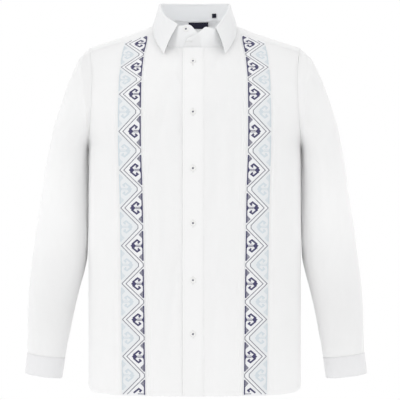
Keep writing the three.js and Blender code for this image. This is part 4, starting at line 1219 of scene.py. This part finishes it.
def resampled(path, step):
    """The path's points with others between them, no further apart than the step."""
    path = np.asarray(path, float)
    out = [path[0]]
    for a, b in zip(path, path[1:]):
        count = max(1, int(math.ceil(np.linalg.norm(b - a) / step)))
        out.extend(a + (b - a) * (k + 1) / count for k in range(count))
    return np.array(out)


STROKE_SECTION = np.array([(-0.5, -0.12), (-0.5, 0.3), (-0.24, 1.0), (0.24, 1.0), (0.5, 0.3), (0.5, -0.12)])


def stroke(place, path, width, height, inside=None, step=3.0):
    """A satin-stitched line on a surface; place(u, v, lift) gives its points in space."""
    flat = resampled(path, step)
    kept = np.ones(len(flat), bool) if inside is None else inside(flat[:, 0], flat[:, 1])
    forward = unit(np.diff(flat, axis=0))
    ahead = np.concatenate([forward, forward[-1:]])
    behind = np.concatenate([forward[:1], forward])
    left = lambda d: np.stack([-d[:, 1], d[:, 0]], axis=-1)
    mitre = unit(left(ahead) + left(behind))
    mitre = mitre / np.maximum(0.45, (mitre * left(ahead)).sum(axis=1))[:, None]
    along = np.concatenate([[0], np.cumsum(np.linalg.norm(np.diff(flat, axis=0), axis=1))]) / 1000
    around = np.arange(7) * width / 5000
    parts = []
    start = None
    for k in range(len(flat) + 1):
        if k < len(flat) and kept[k]:
            start = k if start is None else start
            continue
        if start is not None and k - start >= 2:
            run = slice(start, k)
            share, rise = STROKE_SECTION[:, 0, None], STROKE_SECTION[:, 1, None]
            spot = flat[run][None] + mitre[run][None] * (share[..., None] * width)
            lift = np.where(rise > 0, rise * height, rise) + np.zeros(spot.shape[:2])
            rings = place(spot[..., 0], spot[..., 1], lift).transpose(1, 0, 2)
            parts.append(tube(rings, along[run], around))
        start = None
    return parts


def filled(place, corners, height, inside=None, count=6):
    """A satin-filled shape of four corners, a little crowned."""
    corners = np.asarray(corners, float)
    if inside is not None and not inside(corners[:, 0], corners[:, 1]).all():
        return []
    s, t = np.meshgrid(np.linspace(0, 1, count + 1), np.linspace(0, 1, count + 1))
    s, t = s[..., None], t[..., None]
    flat = (corners[0] * (1 - s) * (1 - t) + corners[1] * s * (1 - t) + corners[2] * s * t
            + corners[3] * (1 - s) * t)
    edge = np.minimum(np.minimum(s, 1 - s), np.minimum(t, 1 - t))[..., 0] * 2
    rise = height * (0.3 + 0.7 * np.minimum(1, edge * 2.2) ** 0.6)
    top = place(flat[..., 0], flat[..., 1], rise)
    bottom = place(flat[..., 0], flat[..., 1], np.full_like(rise, -0.12))
    return [wall_mesh(top, bottom)]


# ---- embroidery on the bands

PITCH = 74.7                   # the zigzag's repeat along the band
# height of each outer tip and its number; they close up where the chest slopes back
TIPS = [(-811, -7), (-736, -6), (-661.4, -5), (-588.6, -4), (-517.8, -3), (-443, -2), (-368.3, -1),
        (-293.6, 0), (-216.9, 1), (-142.4, 2), (-84.5, 3), (-32.8, 4), (10, 5)]
GHOST_SUM = 48.8               # the pale motif is the navy one turned over across the band

# across the band from its inner edge, and along it from a tip
ZIGZAG_OUTER = [(11.7, -37.35), (11.7, -34.4), (45.2, 0), (11.7, 34.4), (11.7, 37.35)]
ZIGZAG_INNER = [(2.5, -37.35), (2.5, -34.4), (37.2, 0), (2.5, 34.4), (2.5, 37.35)]
HOOK = [(24, 3.2), (14, 11.4), (9.5, 8.2), (12.6, 5.1)]
DIAMOND = [(27, 0), (21.5, 5.75), (15.7, 0), (21.5, -5.75)]
STEM = [(15.9, 1.4), (3.6, 1.4)]
EDGE_BAR = [(2.75, -29.2), (2.75, 29.2)]
FOOT = [(3.8, -6.0), (3.8, 6.0), (6.4, 0.3), (6.4, -0.3)]
HATCH_MIDDLE, HATCH_HALF, HATCH_REACH = 21.85, 7.3, 6.8     # the hatched triangles at the bar's ends
HATCH_COUNT = 8

band_track_z = np.linspace(-811, 10, 800)
band_travel = PITCH * curve_of(TIPS)(band_track_z)
band_top_z = band_tops(26)


def band_z(along):
    return np.interp(along, band_travel, band_track_z)


def within_band(u, along):
    z = band_z(along)
    top = np.interp(u / BAND_WIDTH, np.linspace(0, 1, 26), band_top_z)
    return (z < top - 1.2) & (z > HEM_Z + 2.2)


def both_ways(path):
    return [path, [(u, -v) for u, v in path]]


def motif(place, shift, turned):
    """The diamond with its two hooks, its stem, the bar at the band's edge and its end triangles."""
    def moved(path):
        if turned:
            return [(GHOST_SUM - u, v + shift) for u, v in path]
        return [(u, v + shift) for u, v in path]
    parts = filled(place, moved(DIAMOND), 0.6, within_band)
    for path in both_ways(HOOK):
        parts += stroke(place, moved(path), 3.3, 0.6, within_band)
    for path in both_ways(STEM):
        parts += stroke(place, moved(path), 1.2, 0.45, within_band)
    parts += stroke(place, moved(EDGE_BAR), 2.3, 0.55, within_band)
    parts += filled(place, moved(FOOT), 0.5, within_band)
    for k in range(HATCH_COUNT):
        v = HATCH_HALF * (2 * (k + 0.5) / HATCH_COUNT - 1)
        reach = HATCH_REACH * (1 - abs(v) / HATCH_HALF)
        for path in both_ways([(3.6, HATCH_MIDDLE + v), (3.9 + reach, HATCH_MIDDLE + v * 0.9)]):
            parts += stroke(place, moved(path), 1.15, 0.45, within_band)
    return parts


def ghost_ground(place):
    """The faint fill between the outer line and the band's outer edge."""
    along = np.arange(band_travel[0], band_travel[-1], 2.0)
    near = np.abs((along / PITCH) - np.round(along / PITCH)) * PITCH
    inner = np.interp(near, [0, 34.4, 37.35], [45.2, 11.7, 11.7]) + 0.8
    share = np.linspace(0, 1, 9)[None, :]
    u = inner[:, None] + (47.2 - inner[:, None]) * share
    v = np.broadcast_to(along[:, None], u.shape)
    kept = within_band(u, v).all(axis=1)
    u, v = u[kept], v[kept]
    return [wall_mesh(place(u, v, np.full(u.shape, 0.14)), place(u, v, np.full(u.shape, -0.1)))]


for side, word in ((1, "left"), (-1, "right")):
    def on_band(u, along, lift, side=side):
        z = band_z(along)
        return place_on_front(side * (band_inner(z) + u), z, BAND_FACE + lift)

    navy, grey, pale = [], [], []
    for _, tip in TIPS:
        shift = tip * PITCH
        navy += motif(on_band, shift, False)
        pale += motif(lambda u, v, lift: on_band(u, v, np.asarray(lift) * 0.6 + 0.1), shift + PITCH / 2, True)
        for line in (ZIGZAG_OUTER, ZIGZAG_INNER):
            grey += stroke(on_band, [(u, v + shift) for u, v in line], 1.45, 0.4, within_band)
    thread_piece("shirt_embroidery_navy_" + word, navy, NAVY_THREAD)
    thread_piece("shirt_embroidery_grey_" + word, grey, GREY_THREAD)
    thread_piece("shirt_embroidery_pale_" + word, pale, PALE_THREAD)
    thread_piece("shirt_embroidery_ground_" + word, ghost_ground(on_band), PALE_FILL)

# ---- rows of stitches


def inset(grid, normals, edge, distance, closed=False):
    """The line on a grid that keeps a distance from one of its edges, with its normals."""
    if edge.endswith("column"):
        grid, normals = grid.transpose(1, 0, 2), normals.transpose(1, 0, 2)
    if edge.startswith("last"):
        grid, normals = grid[::-1], normals[::-1]
    travel = np.linalg.norm(np.diff(grid, axis=0), axis=-1).cumsum(axis=0)
    points, ups = [], []
    for i in range(grid.shape[1]):
        k = int(np.searchsorted(travel[:, i], distance))
        before = travel[k - 1, i] if k else 0.0
        t = (distance - before) / max(travel[k, i] - before, 1e-9)
        points.append(mix(grid[k, i], grid[k + 1, i], t))
        ups.append(mix(normals[k, i], normals[k + 1, i], t))
    if closed:
        points.append(points[0])
        ups.append(ups[0])
    return np.array(points), unit(np.array(ups))


STITCH_PITCH = 3.1
STITCH_LENGTH = 2.3
STITCH_RADIUS = 0.19
LINE_POINTS = 240
ARM_ROWS = slice(LOW_ROWS + 6, None)     # the rows that run beside the armhole


def stitches(name, lines, material):
    """Rows of short stitches along lines of points with normals."""
    parts = []
    for points, ups in lines:
        travel = np.concatenate([[0], np.cumsum(np.linalg.norm(np.diff(points, axis=0), axis=1))])
        count = int(travel[-1] / STITCH_PITCH)
        starts = (np.arange(count) + 0.15) * STITCH_PITCH
        places = starts[:, None] + STITCH_LENGTH * np.array([0, 0.5, 1.0])[None, :]
        at = np.stack([np.interp(places, travel, points[:, k]) for k in range(3)], axis=-1)
        up = unit(np.stack([np.interp(places, travel, ups[:, k]) for k in range(3)], axis=-1))
        forward = unit(at[:, 2] - at[:, 0])[:, None, :]
        across = unit(np.cross(up, forward))
        sizes = STITCH_RADIUS * np.array([0.45, 1.0, 0.45])[None, :, None]
        lifts = np.array([-0.02, 0.1, -0.02])[None, :, None]
        centre = at + up * lifts
        rings = np.stack([centre + across * sizes, centre + up * sizes, centre - across * sizes,
                          centre - up * sizes], axis=2)
        around = np.arange(5) * 0.0003
        for k in range(count):
            parts.append(tube(rings[k], places[k] / 1000, around))
    thread_piece(name, parts, material)


def on_placket(u, z, lift):
    x = BUTTON_X + np.asarray(u, float)
    return place_on_front(x, z, lap_lift(x) + BAND_FACE + lift)


def placed_line(place, u, z):
    points = place(u + 0 * z, z, 0 * z)
    return points, unit(place(u + 0 * z, z, 0 * z + 1.0) - points)


body_lines = []
for inset_x in (PLACKET_LEFT + 3.2, PLACKET_RIGHT - 3.2):
    z = np.linspace(HEM_Z + 3, float(front_neck_point(inset_x)[2]) - 7, LINE_POINTS)
    body_lines.append(placed_line(on_placket, inset_x - BUTTON_X, z))
for side in (1, -1):
    def beside_band(u, z, lift, side=side):
        return place_on_front(side * (band_inner(z) + u), z, BAND_FACE + lift)
    for place, top in ((0.7, -28.0), (47.7, -34.0)):
        body_lines.append(placed_line(beside_band, place, np.linspace(HEM_Z + 3, top, LINE_POINTS)))
for grid, normals in (left_panel, right_panel, back_panel):
    body_lines.append(inset(grid, normals, "first_row", 9.0))
for edge in ("first_row", "last_row"):
    body_lines.append(inset(*yoke_panel, edge, 2.2))
for grid, normals in (left_panel, right_panel):
    points, ups = inset(grid, normals, "last_column", 5.0)
    body_lines.append((points[ARM_ROWS], ups[ARM_ROWS]))
for edge in ("first_column", "last_column"):
    points, ups = inset(*back_panel, edge, 5.0)
    body_lines.append((points[ARM_ROWS], ups[ARM_ROWS]))
    body_lines.append(inset(*yoke_panel, edge, 5.0))
stitches("shirt_stitches_body", body_lines, WHITE_THREAD)

cuff_lines = []
for grid, normals in (cuff_left, cuff_right):
    for edge in ("first_row", "last_row"):
        cuff_lines.append(inset(grid, normals, edge, 2.6, closed=True))
stitches("shirt_stitches_cuffs", cuff_lines, WHITE_THREAD)

collar_lines = [inset(leaf, leaf_normals, "last_row", 5.0), inset(stand, stand_normals, "first_row", 2.0)]
for edge in ("first_column", "last_column"):
    points, ups = inset(leaf, leaf_normals, edge, 5.0)
    collar_lines.append((points[9:], ups[9:]))
stitches("shirt_stitches_collar", collar_lines, WHITE_THREAD)

# ---- buttonholes

BUTTONHOLE_HALF = 7.6


def buttonhole(place, middle):
    """Two close satin bars with a tack at each end."""
    low, high = middle - BUTTONHOLE_HALF, middle + BUTTONHOLE_HALF
    parts = []
    for u in (-0.8, 0.8):
        parts += stroke(place, [(u, low), (u, high)], 1.2, 0.35)
    for v in (low, high):
        parts += stroke(place, [(-1.5, v), (1.5, v)], 1.2, 0.45, step=1.0)
    return parts


holes = []
for z in PLACKET_BUTTONS.values():
    holes += buttonhole(on_placket, float(z) - 0.6)
thread_piece("shirt_buttonholes", holes, WHITE_THREAD)

STAND_HOLE = np.array([-12.0, -68.0, -36.5])
over_end = stand[:, -24:].reshape(-1, 3)
over_normals = stand_normals[:, -24:].reshape(-1, 3)
nearest = int(np.argmin(np.linalg.norm(over_end - STAND_HOLE, axis=-1)))
hole_across, hole_up, hole_out = frame_of(over_normals[nearest])


def on_stand(u, v, lift):
    u, v = np.broadcast_arrays(np.asarray(u, float), np.asarray(v, float))
    lift = np.broadcast_to(np.asarray(lift, float), u.shape)
    return (over_end[nearest] + hole_across * v[..., None] + hole_up * u[..., None]
            + hole_out * (lift + 0.2)[..., None])


thread_piece("shirt_buttonhole_stand", buttonhole(on_stand, 0.0), WHITE_THREAD)

# ---- floor, light and world

floor_mesh = bpy.data.meshes.new("floor")
FLOOR_HALF, FLOOR_Z = 3.6, -1.25       # metres
corners = [(x * FLOOR_HALF, y * FLOOR_HALF, FLOOR_Z) for x, y in ((-1, -1), (1, -1), (1, 1), (-1, 1))]
floor_mesh.from_pydata(corners, [], [(0, 1, 2, 3)])
floor_mesh.uv_layers.new(name="cloth")
floor = bpy.data.objects.new("floor", floor_mesh)
floor_mesh.materials.append(FLOOR_GREY.material)
scene.collection.objects.link(floor)

world = bpy.data.worlds.new("studio")
world.use_nodes = True
world.node_tree.nodes["Background"].inputs["Color"].default_value = (1, 1, 1, 1)
world.node_tree.nodes["Background"].inputs["Strength"].default_value = 1.0
scene.world = world


KEY_PLACE, KEY_TARGET, KEY_SIZE, KEY_WATTS = (-2.4, -2.6, 1.5), (0, 0, -0.3), 1.4, 9.0
STRIP_Z, STRIP_HEIGHT = -0.35, 0.2
SIDE_STRIP_WATTS, ARM_STRIP_WATTS = 0.04, 0.036
NECK_RADIUS, BODY_RADIUS, SLEEVE_RADIUS = 0.015, 0.03, 0.01
BODY_WATTS, SLEEVE_WATTS = 0.03, 0.008
SLEEVE_LAMPS = ((0.25, -0.2), (0.265, -0.38), (0.285, -0.52), (0.305, -0.64))    # x and z, metres


def lamp(name, kind, place, watts, facing=None, hidden=True, **settings):
    """A lamp that faces a direction; a hidden one is inside the garment, and thin cloth lets it through."""
    data = bpy.data.lights.new(name, kind)
    data.energy = watts
    for key, value in settings.items():
        setattr(data, key, value)
    light = bpy.data.objects.new(name, data)
    light.location = place
    if facing is not None:
        light.rotation_euler = Vector(facing).to_track_quat("-Z", "Y").to_euler()
    if hidden:
        light.visible_camera = False
    scene.collection.objects.link(light)


def side_strip(name, place, facing, width, watts):
    """A tall narrow lamp just inside the cloth, for the walls that meet under the arm."""
    lamp(name, "AREA", (*place, STRIP_Z), watts, facing, shape="RECTANGLE", size=width, size_y=STRIP_HEIGHT)


def inside_light(name, place, watts, radius, color=(1, 1, 1)):
    lamp(name, "POINT", place, watts, color=color, shadow_soft_size=radius)


for side in (1, -1):
    for back in (1, -1):
        tag = "%d_%d" % (side, back)
        side_strip("inside_side_" + tag, (side * 0.2, back * 0.032), (side, back * 0.3, 0), 0.05,
                   SIDE_STRIP_WATTS)
        side_strip("inside_arm_" + tag, (side * 0.231, back * 0.013), (-side, back * 0.12, 0), 0.024,
                   ARM_STRIP_WATTS)
lamp("key", "AREA", KEY_PLACE, KEY_WATTS, Vector(KEY_TARGET) - Vector(KEY_PLACE), hidden=False,
     shape="DISK", size=KEY_SIZE)
inside_light("inside_neck", (0, -0.005, 0.025), 0.016, NECK_RADIUS, (0.82, 0.9, 1.0))
inside_light("inside_neck_low", (0.005, 0.0, -0.03), 0.014, NECK_RADIUS, (0.85, 0.92, 1.0))
for height in (-0.15, -0.35, -0.58):
    inside_light("inside_body_%d" % round(-height * 100), (0, 0, height), BODY_WATTS, BODY_RADIUS)
for side in (1, -1):
    for out, height in SLEEVE_LAMPS:
        inside_light("inside_sleeve_%d_%d" % (side, round(-height * 100)), (side * out, 0, height),
                     SLEEVE_WATTS, SLEEVE_RADIUS)

scene.view_settings.view_transform = "Standard"
scene.view_settings.look = "None"
scene.view_settings.exposure = 0.0
scene.view_settings.gamma = 1.0

# ---- the solids that the pieces stand for, hidden

NODES = ["front_left", "front_right", "back", "yoke", "placket", "band_left", "band_right", "sleeve_left",
         "sleeve_right", "cuff_left", "cuff_right", "collar_leaf", "collar_stand", "button_1", "button_2",
         "button_3", "button_4", "button_5", "button_6", "button_collar", "button_cuff_left",
         "button_cuff_right", "neck_label", "size_tab"]
for node in NODES:
    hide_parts(node)
